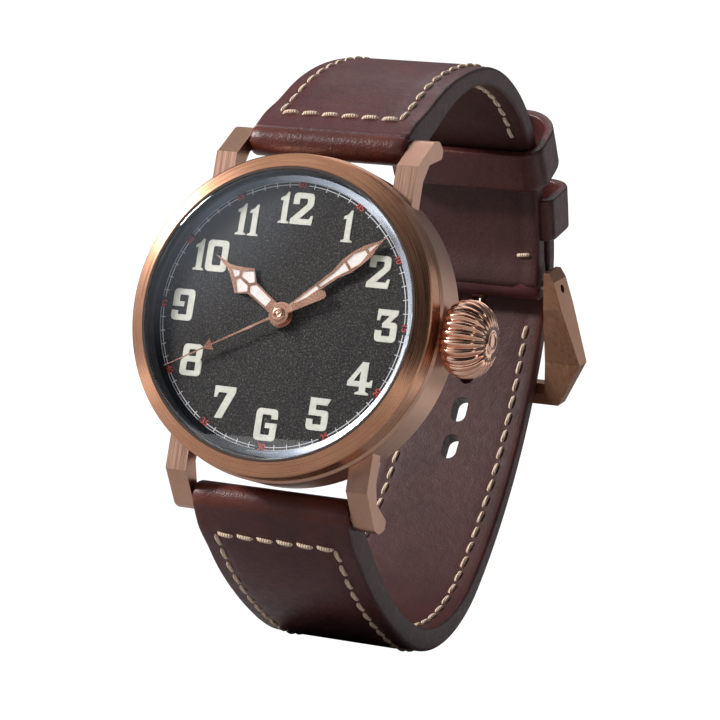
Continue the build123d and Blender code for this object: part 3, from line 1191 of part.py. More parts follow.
RISE_CENTRE = (
    RISE_START[0] - RISE_RADIUS * sin(radians(RISE_HEADING)),
    RISE_START[1] + RISE_RADIUS * cos(radians(RISE_HEADING)),
)
FREE_BAR_RADIUS = RISE_RADIUS + LOWER_STRAP_THICKNESS / 2 + SOFT_CLEARANCE + BUCKLE_END_THICKNESS / 2
BAR_FROM_CENTRE = (BUCKLE_BAR[0] - RISE_CENTRE[0], BUCKLE_BAR[1] - RISE_CENTRE[1])
BAR_DISTANCE = hypot(*BAR_FROM_CENTRE)
APART = degrees(acos((BAR_DISTANCE ** 2 + FREE_BAR_RADIUS ** 2 - BUCKLE_REACH ** 2)
                     / (2 * BAR_DISTANCE * FREE_BAR_RADIUS)))
FREE_BAR_ANGLE = degrees(atan2(BAR_FROM_CENTRE[1], BAR_FROM_CENTRE[0])) - APART
FREE_BAR = (
    RISE_CENTRE[0] + FREE_BAR_RADIUS * cos(radians(FREE_BAR_ANGLE)),
    RISE_CENTRE[1] + FREE_BAR_RADIUS * sin(radians(FREE_BAR_ANGLE)),
)
DOWN = ((FREE_BAR[0] - BUCKLE_BAR[0]) / BUCKLE_REACH, (FREE_BAR[1] - BUCKLE_BAR[1]) / BUCKLE_REACH)
OUT = (-DOWN[1], DOWN[0])
BUCKLE_PLANE = Plane(origin=(0, BUCKLE_BAR[0], BUCKLE_BAR[1]), x_dir=(1, 0, 0), z_dir=(0, OUT[0], OUT[1]))


def buckle_side(corners, width):
    """A prism across the buckle from corners of (distance from the bar, outward)."""
    side = Plane(origin=(-width / 2, 0, 0), x_dir=(0, 1, 0), z_dir=(1, 0, 0))
    return extrude(side * make_face(Polyline(*corners, close=True)), width)


def buckle_frame():
    """The big frame: it flares from the bar, and chamfers run in to the free end."""
    end = BUCKLE_REACH + FREE_BAR_WIDTH / 2
    right = [
        (BUCKLE_TOP_HALF_WIDTH, -BUCKLE_TOP_RISE),
        (BUCKLE_HINGE_HALF_WIDTH, -BUCKLE_TOP_RISE / 2),
        (BUCKLE_WIDEST_HALF_WIDTH, BUCKLE_WIDEST_REACH),
        (BUCKLE_END_HALF_WIDTH, end),
    ]
    left = [(-x, y) for x, y in reversed(right)]
    plan = make_face(Polyline(*right, *left, close=True))
    window_end = BUCKLE_REACH - FREE_BAR_WIDTH / 2
    window_start = -BUCKLE_TOP_RISE - OVERRUN
    window_middle = (window_start + window_end) / 2
    plan -= Pos(0, window_middle) * Rectangle(2 * BUCKLE_OPENING_HALF_WIDTH, window_end - window_start)
    body = Pos(0, 0, -BUCKLE_HINGE_THICKNESS) * extrude(plan, 2 * BUCKLE_HINGE_THICKNESS)
    hinge = BUCKLE_HINGE_THICKNESS / 2
    tip = BUCKLE_END_THICKNESS / 2
    body &= buckle_side([
        (-BUCKLE_TOP_RISE - OVERRUN, -hinge),
        (-BUCKLE_TOP_RISE - OVERRUN, hinge),
        (BUCKLE_TOP_RISE, hinge),
        (BUCKLE_WIDEST_REACH, tip),
        (end + OVERRUN, tip),
        (end + OVERRUN, -tip),
        (BUCKLE_WIDEST_REACH, -tip),
        (BUCKLE_TOP_RISE, -hinge),
    ], 2 * BUCKLE_WIDEST_HALF_WIDTH + OVERRUN)
    body -= buckle_side([
        (window_end - OVERRUN, -tip - OVERRUN),
        (window_end - OVERRUN, FREE_BAR_BEVEL_DEPTH - tip),
        (window_end, FREE_BAR_BEVEL_DEPTH - tip),
        (window_end + FREE_BAR_BEVEL_LENGTH, -tip),
        (window_end + FREE_BAR_BEVEL_LENGTH, -tip - OVERRUN),
    ], 2 * BUCKLE_OPENING_HALF_WIDTH)
    body -= Rot(0, QUARTER_TURN, 0) * Cylinder(BUCKLE_HOLE_RADIUS, 4 * BUCKLE_WIDEST_HALF_WIDTH)
    return BUCKLE_PLANE * body


def buckle_bar():
    """The bar through the buckle's arms, thinner where it sits in them."""
    body = Rot(0, QUARTER_TURN, 0) * Cylinder(BUCKLE_BAR_RADIUS, 2 * (BUCKLE_OPENING_HALF_WIDTH - RUNNING))
    tips = 2 * (BUCKLE_HINGE_HALF_WIDTH - BUCKLE_BAR_INSET)
    return BUCKLE_PLANE * (body + Rot(0, QUARTER_TURN, 0) * Cylinder(BUCKLE_BAR_TIP_RADIUS, tips))


RISE_CENTRE_DOWN = (RISE_CENTRE[0] - BUCKLE_BAR[0]) * DOWN[0] + (RISE_CENTRE[1] - BUCKLE_BAR[1]) * DOWN[1]
RISE_CENTRE_OUT = (RISE_CENTRE[0] - BUCKLE_BAR[0]) * OUT[0] + (RISE_CENTRE[1] - BUCKLE_BAR[1]) * OUT[1]


def strap_out(reach):
    """How far outward the long piece's middle lies at a distance down from the bar."""
    return RISE_CENTRE_OUT + sqrt(RISE_RADIUS ** 2 - (reach - RISE_CENTRE_DOWN) ** 2)


def buckle_tongue():
    """The tongue: a ring on the bar, a bend out through the strap and a long straight arm."""
    half = TONGUE_THICKNESS / 2
    surface = LOWER_STRAP_THICKNESS / 2
    rest = BUCKLE_END_THICKNESS / 2
    hump = strap_out(TONGUE_HUMP_REACH) + surface + TONGUE_HUMP_GAP + half
    end = BUCKLE_REACH + TONGUE_TIP_OVERHANG
    middle = [
        (TONGUE_RING_RADIUS - half, 0),
        (TONGUE_CROSSING_REACH - half, strap_out(TONGUE_CROSSING_REACH) - surface - TONGUE_INNER_GAP),
        (TONGUE_CROSSING_REACH + half / 2, strap_out(TONGUE_CROSSING_REACH) + surface + TONGUE_HUMP_GAP),
        (TONGUE_HUMP_REACH, hump),
        (end, rest + SEAT + half),
    ]
    route = FilletPolyline(*middle, radius=TONGUE_THICKNESS / 2 + SEAT)
    side = Plane(origin=(-TONGUE_WIDTH / 2, 0, 0), x_dir=(0, 1, 0), z_dir=(1, 0, 0))
    face = trace(route, TONGUE_THICKNESS)
    arm = extrude(side * face, TONGUE_WIDTH)
    ring = Rot(0, QUARTER_TURN, 0) * Cylinder(TONGUE_RING_RADIUS, TONGUE_WIDTH)
    body = arm + ring - Rot(0, QUARTER_TURN, 0) * Cylinder(BUCKLE_BAR_RADIUS + RUNNING, 2 * TONGUE_WIDTH)
    return BUCKLE_PLANE * body


# Keepers

def keeper_outline(width, depth, corner, bend):
    """A loop's outline, its two inner corners tighter than the bends of its outer side."""
    face = Rectangle(width, depth)
    face = fillet(face.vertices().group_by(Axis.Y)[-1], bend)
    return fillet(face.vertices().group_by(Axis.Y)[0], corner)


def keeper(reach, low, high, corner, bend):
    """A leather loop between two heights over the short piece's middle surface."""
    distance = UPPER_LENGTH - reach
    width = upper_width(distance) + 2 * KEEPER_SIDE_GAP
    wall = KEEPER_WALL
    ring = keeper_outline(width + 2 * wall, high - low + 2 * wall, corner + wall, bend + wall)
    ring -= keeper_outline(width, high - low, corner, bend)
    band = extrude(Pos(0, (low + high) / 2) * ring, KEEPER_WIDTH / 2, both=True)
    return station(UPPER_START, UPPER_HEADING, UPPER_LEGS, distance) * (Rot(0, 0, HALF_TURN) * band)


def keeper_fixed():
    """The loop that is sewn in: its inner side lies between the short piece's two layers."""
    high = TAIL_OFFSET + LOWER_STRAP_THICKNESS / 2 + FIXED_KEEPER_TAIL_ROOM
    return keeper(FIXED_KEEPER_REACH, KEEPER_WALL / 2, high, FIXED_KEEPER_CORNER, FIXED_KEEPER_BEND)


def keeper_free():
    """The loop that slides along the short piece, with room for the long piece's end."""
    low = -UPPER_STRAP_THICKNESS / 2 - FREE_KEEPER_INNER_GAP
    high = TAIL_OFFSET + LOWER_STRAP_THICKNESS / 2 + FREE_KEEPER_TAIL_ROOM
    return keeper(FREE_KEEPER_REACH, low, high, FREE_KEEPER_CORNER, FREE_KEEPER_BEND)


HEAD_PIECES = {
    "mid_case": mid_case,
    "bezel": bezel,
    "crystal": crystal,
    "crystal_gasket": crystal_gasket,
    "flange_ring": flange_ring,
    "case_back": case_back,
    "case_back_gasket": case_back_gasket,
    "crown": crown,
    "crown_gasket": crown_gasket,
    "crown_tube": crown_tube,
    "winding_stem": winding_stem,
    "dial": dial,
    "hour_hand": hour_hand,
    "hour_hand_lume": hour_hand_lume,
    "minute_hand": minute_hand,
    "minute_hand_lume": minute_hand_lume,
    "seconds_hand": seconds_hand,
    "main_plate": main_plate,
    "movement_ring": movement_ring,
    "barrel_bridge": barrel_bridge,
    "train_bridge": train_bridge,
    "balance_cock": balance_cock,
    "jewels": jewels,
    "bridge_screws": bridge_screws,
    "barrel": barrel,
    "centre_wheel": centre_wheel,
    "cannon_pinion": cannon_pinion,
    "third_wheel": third_wheel,
    "fourth_wheel": fourth_wheel,
    "escape_wheel": escape_wheel,
    "pallet_fork": pallet_fork,
    "balance_wheel": balance_wheel,
    "hairspring": hairspring,
    "minute_wheel": minute_wheel,
    "hour_wheel": hour_wheel,
    "rotor": rotor,
    "rotor_bearing": rotor_bearing,
}
STRAP_PIECES = {
    "strap_12": strap_12,
    "strap_6": strap_6,
    "buckle_frame": buckle_frame,
    "buckle_bar": buckle_bar,
    "buckle_tongue": buckle_tongue,
    "keeper_fixed": keeper_fixed,
    "keeper_free": keeper_free,
    "spring_bar_12": lambda: spring_bar(UPPER_START),
    "spring_bar_6": lambda: spring_bar(LOWER_START),
}

os.makedirs("parts", exist_ok=True)
for name, make in HEAD_PIECES.items():
    export_step(STAND * make(), f"parts/{name}.step")
for name, make in STRAP_PIECES.items():
    export_step(make(), f"parts/{name}.step")
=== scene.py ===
"""The looks of a pilot watch with an onion crown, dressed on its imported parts.

Blender works in metres in the parts' own frame: +X to 3 o'clock, +Z to 12 o'clock, the dial
facing -Y, and the middle of the case back's outer face at the origin. From the glass on, the
watchmaker's sizes are in millimetres, and heights are counted up from the case back.
"""
import math

import bpy
import bmesh
from mathutils import Matrix, Vector


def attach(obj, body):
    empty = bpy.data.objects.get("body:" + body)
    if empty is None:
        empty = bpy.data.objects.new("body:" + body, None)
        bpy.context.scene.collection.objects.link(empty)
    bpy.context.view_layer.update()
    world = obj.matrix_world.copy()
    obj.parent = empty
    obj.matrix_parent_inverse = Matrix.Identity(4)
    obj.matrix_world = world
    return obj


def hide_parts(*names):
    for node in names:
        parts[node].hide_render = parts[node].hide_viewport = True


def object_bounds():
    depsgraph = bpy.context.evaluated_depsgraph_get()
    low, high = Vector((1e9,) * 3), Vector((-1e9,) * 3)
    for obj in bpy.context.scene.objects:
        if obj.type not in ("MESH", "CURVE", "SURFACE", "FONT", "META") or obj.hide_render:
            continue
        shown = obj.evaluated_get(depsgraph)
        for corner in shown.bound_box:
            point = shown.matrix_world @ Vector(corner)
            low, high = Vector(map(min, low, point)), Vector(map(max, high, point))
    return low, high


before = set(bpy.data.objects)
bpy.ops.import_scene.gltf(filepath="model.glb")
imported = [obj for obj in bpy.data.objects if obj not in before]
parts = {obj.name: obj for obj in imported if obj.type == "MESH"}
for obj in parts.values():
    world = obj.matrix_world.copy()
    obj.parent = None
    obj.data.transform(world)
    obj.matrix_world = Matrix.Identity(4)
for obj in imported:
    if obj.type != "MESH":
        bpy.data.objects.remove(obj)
cad_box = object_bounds()


# The photographer's camera stands in front of the watch, a little to its right, and looks
# slightly up. It is a long lens, so the round case keeps its shape.
camera_data = bpy.data.cameras.new("camera")
camera_data.lens = 140
camera_data.sensor_width = 36
camera_data.clip_start = 0.01
camera = bpy.data.objects.new("camera", camera_data)
camera_place = Vector((0.16268, -0.34726, -0.04193))
camera_right = Vector((0.9081, 0.3895, 0.1539))
camera_up = Vector((-0.10072, -0.1537, 0.98299))
camera_back = Vector((0.40653, -0.90809, -0.10032))
camera.matrix_world = Matrix((
    (camera_right.x, camera_up.x, camera_back.x, camera_place.x),
    (camera_right.y, camera_up.y, camera_back.y, camera_place.y),
    (camera_right.z, camera_up.z, camera_back.z, camera_place.z),
    (0, 0, 0, 1)))
bpy.context.scene.collection.objects.link(camera)
bpy.context.scene.camera = camera


# The studio floor is a round sheet of pale paper under the strap. Towards its rim it glows white
# by itself, a painted light, so bright that it runs on into the white background without an edge.
class Finish:
    """A surface finish made of nodes round one main shader."""

    def __init__(self, name, **values):
        self.material = bpy.data.materials.new(name)
        self.material.use_nodes = True
        self.tree = self.material.node_tree
        self.shader = self.tree.nodes["Principled BSDF"]
        for socket, value in values.items():
            self.shader.inputs[socket.replace("_", " ")].default_value = value

    def node(self, kind, inputs=None, **settings):
        """Adds a node. inputs are values or outputs of other nodes by socket name or number."""
        made = self.tree.nodes.new("ShaderNode" + kind)
        for setting, value in settings.items():
            setattr(made, setting, value)
        for socket, value in (inputs or {}).items():
            self.feed(made.inputs[socket], value)
        return made

    def feed(self, socket, value):
        """Links an output to a socket, or sets the socket to a plain value."""
        if isinstance(value, bpy.types.NodeSocket):
            self.tree.links.new(value, socket)
        else:
            socket.default_value = value

    def place(self):
        """Where a point of the surface is, in the watch's own frame."""
        return self.node("TexCoord").outputs["Object"]

    def maths(self, kind, first, second=0.0):
        """One step of arithmetic between values or outputs."""
        return self.node("Math", {0: first, 1: second}, operation=kind).outputs[0]

    def grain(self, where, scale, detail=4.0, rough=0.55):
        """Cloudy noise between 0 and 1 whose lumps are 1/scale metres apart."""
        return self.node("TexNoise", {"Vector": where, "Scale": scale, "Detail": detail,
                                      "Roughness": rough}).outputs["Fac"]

    def spread(self, value, low, high, to_low, to_high):
        """Stretches a value from the range low to high to the range to_low to to_high."""
        return self.node("MapRange", {0: value, 1: low, 2: high, 3: to_low, 4: to_high}).outputs[0]

    def tones(self, value, *stops):
        """Colours along a value; each stop is (position, red, green, blue)."""
        ramp = self.node("ValToRGB", {"Fac": value})
        bands = ramp.color_ramp.elements
        while len(bands) < len(stops):
            bands.new(0.5)
        for band, stop in zip(bands, stops):
            band.position = stop[0]
            band.color = (*stop[1:], 1)
        self.feed(self.shader.inputs["Base Color"], ramp.outputs["Color"])

    def clouded(self, scale, *stops):
        """Cloudy tones whose lumps are 1/scale metres apart. Returns the clouds."""
        clouds = self.grain(self.place(), scale)
        self.tones(clouds, *stops)
        return clouds

    def relief(self, height, depth, strength=1.0, under=None):
        """Raises the surface by height times depth in metres, on top of another relief."""
        inputs = {"Height": height, "Distance": depth, "Strength": strength}
        if under is not None:
            inputs["Normal"] = under
        bump = self.node("Bump", inputs)
        self.feed(self.shader.inputs["Normal"], bump.outputs["Normal"])
        return bump.outputs["Normal"]

    def gloss(self, value, low, high):
        """Roughness that runs from low to high with a value between 0 and 1."""
        self.feed(self.shader.inputs["Roughness"], self.spread(value, 0.25, 0.75, low, high))


def solid_piece(name, corners, faces, finish, body, smooth=True, standing_for=()):
    """A new piece from corner points in metres, which rides on a body."""
    mesh = bpy.data.meshes.new(name)
    mesh.from_pydata(corners, [], faces)
    mesh.validate()
    work = bmesh.new()
    work.from_mesh(mesh)
    bmesh.ops.recalc_face_normals(work, faces=work.faces)
    work.to_mesh(mesh)
    work.free()
    if smooth:
        mesh.shade_smooth()
    mesh.materials.append(finish.material)
    piece = bpy.data.objects.new(name, mesh)
    bpy.context.scene.collection.objects.link(piece)
    if body:
        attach(piece, body)
    if standing_for:
        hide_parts(*standing_for)
    return piece


FLOOR_LEVEL = cad_box[0][2] - 0.0004
FLOOR_RADIUS = 0.22
FLOOR_CORNERS = 120
GLOW_START = 0.11
GLOW_END = 0.19
WHITE_STRENGTH = 1.1
WHITE = (1, 1, 1, 1)
paper = Finish("floor_paper", Roughness=0.8)
paper.clouded(30.0, (0.4, 0.43, 0.43, 0.43), (0.6, 0.47, 0.47, 0.47))
from_middle = paper.node("VectorMath", {0: paper.place()}, operation="LENGTH").outputs["Value"]
# Painted light: the paper glows white from GLOW_START outwards, though it is no lamp.
paper.feed(paper.shader.inputs["Emission Strength"],
           paper.spread(from_middle, GLOW_START, GLOW_END, 0.0, WHITE_STRENGTH))
paper.shader.inputs["Emission Color"].default_value = WHITE
floor_turns = [2 * math.pi * step / FLOOR_CORNERS for step in range(FLOOR_CORNERS)]
floor_corners = [(FLOOR_RADIUS * math.cos(turn), FLOOR_RADIUS * math.sin(turn), FLOOR_LEVEL)
                 for turn in floor_turns]
solid_piece("floor", floor_corners, [tuple(range(FLOOR_CORNERS))], paper, None,
                     smooth=False)


# The studio's light is soft: patches of brightness in a dim sky, which the metal and the glass
# mirror, four panel lamps, and a white wall behind the watch that only the camera sees.
bpy.context.scene.view_settings.view_transform = "Standard"
world = bpy.data.worlds.new("studio")
world.use_nodes = True
sky = world.node_tree
direction = sky.nodes.new("ShaderNodeTexCoord").outputs["Generated"]


def glow(axis, edge, middle, colour):
    """A soft patch of light round an axis, from edge to middle degrees away from it."""
    facing = sky.nodes.new("ShaderNodeVectorMath")
    facing.operation = "DOT_PRODUCT"
    sky.links.new(direction, facing.inputs[0])
    facing.inputs[1].default_value = Vector(axis).normalized()
    fade = sky.nodes.new("ShaderNodeMapRange")
    fade.interpolation_type = "SMOOTHSTEP"
    sky.links.new(facing.outputs["Value"], fade.inputs[0])
    fade.inputs[1].default_value = math.cos(math.radians(edge))
    fade.inputs[2].default_value = math.cos(math.radians(middle))
    tint = sky.nodes.new("ShaderNodeVectorMath")
    tint.operation = "SCALE"
    tint.inputs[0].default_value = colour
    sky.links.new(fade.outputs[0], tint.inputs["Scale"])
    return tint.outputs[0]


def both(first, second):
    """The light of two patches together."""
    added = sky.nodes.new("ShaderNodeVectorMath")
    added.operation = "ADD"
    sky.links.new(first, added.inputs[0])
    sky.links.new(second, added.inputs[1])
    return added.outputs[0]


low_light = glow((-0.35, 0.55, 0.75), 135, 40, (0.17, 0.175, 0.19))
window = glow((-0.64, -0.68, 0.36), 21, 6, (0.62, 0.70, 0.82))
far_left = glow((-0.94, -0.34, 0.11), 26, 8, (0.62, 0.66, 0.72))
high_left = glow((-0.45, -0.48, 0.75), 36, 8, (0.50, 0.49, 0.47))
sky_light = sky.nodes["Background"]
sky.links.new(both(both(low_light, window), both(far_left, high_left)), sky_light.inputs["Color"])
backdrop = sky.nodes.new("ShaderNodeBackground")
backdrop.inputs["Color"].default_value = WHITE
backdrop.inputs["Strength"].default_value = WHITE_STRENGTH
ray = sky.nodes.new("ShaderNodeLightPath")
either = sky.nodes.new("ShaderNodeMixShader")
sky.links.new(ray.outputs["Is Camera Ray"], either.inputs["Fac"])
sky.links.new(sky_light.outputs["Background"], either.inputs[1])
sky.links.new(backdrop.outputs["Background"], either.inputs[2])
sky.links.new(either.outputs["Shader"], sky.nodes["World Output"].inputs["Surface"])
bpy.context.scene.world = world


def lamp(name, place, width, height, power, aim=(0, 0, 0)):
    """A soft panel of light that faces the watch."""
    data = bpy.data.lights.new(name, "AREA")
    data.shape = "RECTANGLE"
    data.size = width
    data.size_y = height
    data.energy = power
    made = bpy.data.objects.new(name, data)
    made.location = place
    made.rotation_euler = (Vector(aim) - Vector(place)).to_track_quat("-Z", "Y").to_euler()
    bpy.context.scene.collection.objects.link(made)


lamp("key_panel", (-0.46, -0.28, 0.25), 0.08, 0.08, 4.6)
lamp("top_panel", (-0.02, 0.17, 0.52), 0.4, 0.3, 0.75, (0, 0.03, 0.02))
lamp("right_panel", (0.55, -0.3, 0.16), 0.1, 0.3, 0.2)
lamp("back_panel", (0.3, 0.5, 0.12), 0.3, 0.3, 0.18, (0, 0.04, 0))


# The case middle and its lugs are milled from one bar of bronze, then brushed: round the flank,
# and straight along the lugs. The bronze is pinkish where it is fresh.
LUG_START = 0.0228
ROUND_STRETCH = 2.2
STRAIGHT_STRETCH = 90.0
SCRATCH_SHARE = 0.6
BRUSH_DEPTH = 0.00001


def dress(finish, *names):
    """Gives CAD pieces this finish in place of their plain one."""
    for name in names:
        materials = parts[name].data.materials
        materials.clear()
        materials.append(finish.material)


def brushed_bronze(name, light, dark, rough, across=2600.0):
    """Bronze with brush lines that run round the watch's middle, and straight along the lugs."""
    bronze = Finish(name, Metallic=1.0, Roughness=rough)
    x, y, z = bronze.node("SeparateXYZ", {0: bronze.place()}).outputs
    squares = bronze.maths("ADD", bronze.maths("MULTIPLY", x, x), bronze.maths("MULTIPLY", z, z))
    radius = bronze.maths("SQRT", squares)
    deep = bronze.maths("MULTIPLY", y, across)
    round_lines = bronze.node("CombineXYZ", {
        0: bronze.maths("MULTIPLY", radius, across), 1: deep,
        2: bronze.maths("MULTIPLY", bronze.maths("ARCTAN2", z, x), ROUND_STRETCH)}).outputs[0]
    straight_lines = bronze.node("CombineXYZ", {
        0: bronze.maths("MULTIPLY", x, across), 1: deep,
        2: bronze.maths("MULTIPLY", z, STRAIGHT_STRETCH)}).outputs[0]
    lines = bronze.node("Mix", {"Factor": bronze.maths("GREATER_THAN", radius, LUG_START),
                                4: round_lines, 5: straight_lines}, data_type="VECTOR").outputs[1]
    scratches = bronze.grain(lines, 1.0, 3.0, 0.6)
    clouds = bronze.grain(bronze.place(), 160.0, 3.0)
    mixed = bronze.maths("ADD", bronze.maths("MULTIPLY", scratches, SCRATCH_SHARE),
                         bronze.maths("MULTIPLY", clouds, 1 - SCRATCH_SHARE))
    bronze.tones(mixed, (0.36, *dark), (0.62, *light))
    bronze.gloss(scratches, rough - 0.07, rough + 0.09)
    bronze.relief(scratches, BRUSH_DEPTH, 0.5)
    return bronze


case_bronze = brushed_bronze("case_bronze", (0.62, 0.37, 0.27), (0.53, 0.30, 0.21), 0.34,
                             across=5200.0)
dress(case_bronze, "mid_case")


# The bezel is turned from the same bronze and pressed over the case's collar. Its slope and side
# are brushed round and round, finer than the case.
bezel_bronze = brushed_bronze("bezel_bronze", (0.60, 0.31, 0.19), (0.48, 0.23, 0.135), 0.28,
                              across=7000.0)
bezel_bronze.shader.inputs["Anisotropic"].default_value = 0.5
dress(bezel_bronze, "bezel")


# The case back is a turned and brushed bronze plate that screws in from behind. Black rubber
# rings seal it and the crown.
back_bronze = brushed_bronze("back_bronze", (0.74, 0.46, 0.31), (0.58, 0.34, 0.22), 0.33,
                             across=3000.0)
dress(back_bronze, "case_back")
rubber = Finish("gasket_rubber", Roughness=0.55)
rubber.clouded(900.0, (0.35, 0.012, 0.012, 0.013), (0.65, 0.03, 0.03, 0.032))
dress(rubber, "case_back_gasket", "crown_gasket")


# A thin ring of brown nylon is pressed in between the glass and the bezel, and holds the glass.
# It shows as a dark line round the dial.
MM = 0.001
TURNED_STEPS = 240


def on_dial(x, y, height):
    """A point in metres from millimetres across the dial and above the case back."""
    return (x * MM, -height * MM, y * MM)


def turned(profile, steps=TURNED_STEPS):
    """Corners turned round the dial's middle from (radius, height) points, ring after ring."""
    turns = [2 * math.pi * step / steps for step in range(steps)]
    return [on_dial(radius * math.cos(turn), radius * math.sin(turn), height)
            for radius, height in profile for turn in turns]


def skin(rings, around, first=0, closed=False):
    """Faces between rings of corners in a row; closed joins the last ring to the first."""
    faces = []
    for ring in range(rings if closed else rings - 1):
        one = first + ring * around
        two = first + (ring + 1) % rings * around
        for step in range(around):
            after = (step + 1) % around
            faces.append((one + step, one + after, two + after, two + step))
    return faces


def turned_ring(name, profile, finish, standing_for=()):
    """A closed ring round the dial, with its corners left crisp."""
    ring = solid_piece(name, turned(profile), skin(len(profile), TURNED_STEPS, closed=True),
                       finish, "case", standing_for=standing_for)
    ring.data.set_sharp_from_angle(angle=math.radians(25))


nylon = Finish("seal_brown", Roughness=0.4)
nylon.clouded(90.0, (0.35, 0.030, 0.016, 0.011), (0.65, 0.055, 0.028, 0.018))
turned_ring("glass_seal", [(19.66, 12.25), (20.0, 12.22), (20.03, 12.3), (20.03, 13.3),
                           (20.0, 13.36), (19.69, 13.36), (19.66, 13.32)],
            nylon, standing_for=("crystal_gasket",))


# The crystal is a thick mineral glass, ground to a dome above and hollowed below. It lets the
# dial show and catches a soft window of light on its upper left side.
GLASS_RADIUS = 19.64
GLASS_SEAT = 12.2
GLASS_EDGE = 13.4
GLASS_RISE = 1.2
HOLLOW_RADIUS = 19.3
HOLLOW_RISE = 1.05
DOME_STEP = 0.4
DOME_RINGS = 48


def dome(rim_radius, rim_height, rise):
    """Points (radius, height) of a shallow dome over its rim, from near its middle outwards."""
    ball = (rim_radius ** 2 + rise ** 2) / (2 * rise)
    radii = [DOME_STEP * ring for ring in range(1, DOME_RINGS + 1)]
    return [(radius, rim_height + math.sqrt(ball ** 2 - radius ** 2) - (ball - rise))
            for radius in radii]


glass = Finish("crystal_glass", Roughness=0.0, IOR=1.5)
glass.shader.inputs["Transmission Weight"].default_value = 1.0
glass.clouded(60.0, (0.3, 0.97, 0.985, 1.0), (0.7, 1.0, 1.0, 1.0))
glass_profile = dome(GLASS_RADIUS, GLASS_EDGE, GLASS_RISE)
glass_profile += [(19.5, GLASS_EDGE + 0.01), (19.6, GLASS_EDGE - 0.04),
                  (GLASS_RADIUS, GLASS_EDGE - 0.12), (GLASS_RADIUS, GLASS_SEAT + 0.08),
                  (GLASS_RADIUS - 0.06, GLASS_SEAT), (HOLLOW_RADIUS + 0.06, GLASS_SEAT),
                  (HOLLOW_RADIUS, GLASS_SEAT + 0.01)]
glass_profile += reversed(dome(HOLLOW_RADIUS, GLASS_SEAT, HOLLOW_RISE))
glass_corners = turned(glass_profile)
glass_faces = [tuple(range(TURNED_STEPS)),
               tuple(range(len(glass_corners) - TURNED_STEPS, len(glass_corners)))]
glass_faces += skin(len(glass_profile), TURNED_STEPS)
crystal = solid_piece("domed_crystal", glass_corners, glass_faces, glass, "case",
                      standing_for=("crystal",))
crystal.data.set_sharp_from_angle(angle=math.radians(35))
crystal.visible_shadow = False


# The ring between dial and crystal is turned from brass and lacquered black.
# It stands on the dial's rim and hides the movement's edge.
lacquer = Finish("ring_lacquer", Roughness=0.55)
lacquer.clouded(700.0, (0.4, 0.012, 0.013, 0.017), (0.6, 0.022, 0.024, 0.030))
turned_ring("dial_surround", [(18.95, 10.92), (19.05, 11.3), (19.28, 12.1), (19.31, 12.15),
                              (19.37, 12.17), (19.74, 12.17), (19.76, 12.15), (19.76, 10.92)],
            lacquer, standing_for=("flange_ring",))


# A thin polished reflector lies in that ring's foot over the dial's rim. Its colour is painted:
# bright on the right hand side, a painted reflection of the light from the left, and dull on the
# left, a painted shade.
reflector = Finish("reflector", Metallic=1.0, Roughness=0.1)
painted_reflection_across = reflector.node("SeparateXYZ", {0: reflector.place()}).outputs["X"]
# Painted reflection and shade: the colour runs from near black on the left to pale on the right.
reflector.tones(reflector.spread(painted_reflection_across, -0.006, 0.014, 0.0, 1.0),
                (0.0, 0.03, 0.035, 0.045), (0.5, 0.30, 0.33, 0.38), (1.0, 0.74, 0.78, 0.86))
reflector.gloss(reflector.grain(reflector.place(), 300.0), 0.14, 0.20)
turned_ring("reflector_ring", [(18.2, 10.93), (18.24, 10.98), (19.02, 11.24), (18.95, 11.0),
                               (18.9, 10.92)], reflector)


# The dial is a brass plate under matt black paint with a fine sandy sparkle in it. It is held on
# the movement by its feet.
DIAL_HEIGHT = 10.9
dial_paint = Finish("dial_paint", Roughness=0.75, Specular_IOR_Level=0.2)
sand_cloud = dial_paint.grain(dial_paint.place(), 4600.0, 3.0, 0.7)
dial_paint.tones(sand_cloud, (0.40, 0.006, 0.0055, 0.0055), (0.55, 0.020, 0.018, 0.0175),
                 (0.72, 0.14, 0.12, 0.105))
dial_paint.relief(sand_cloud, 0.00005, 0.7)
dress(dial_paint, "dial")


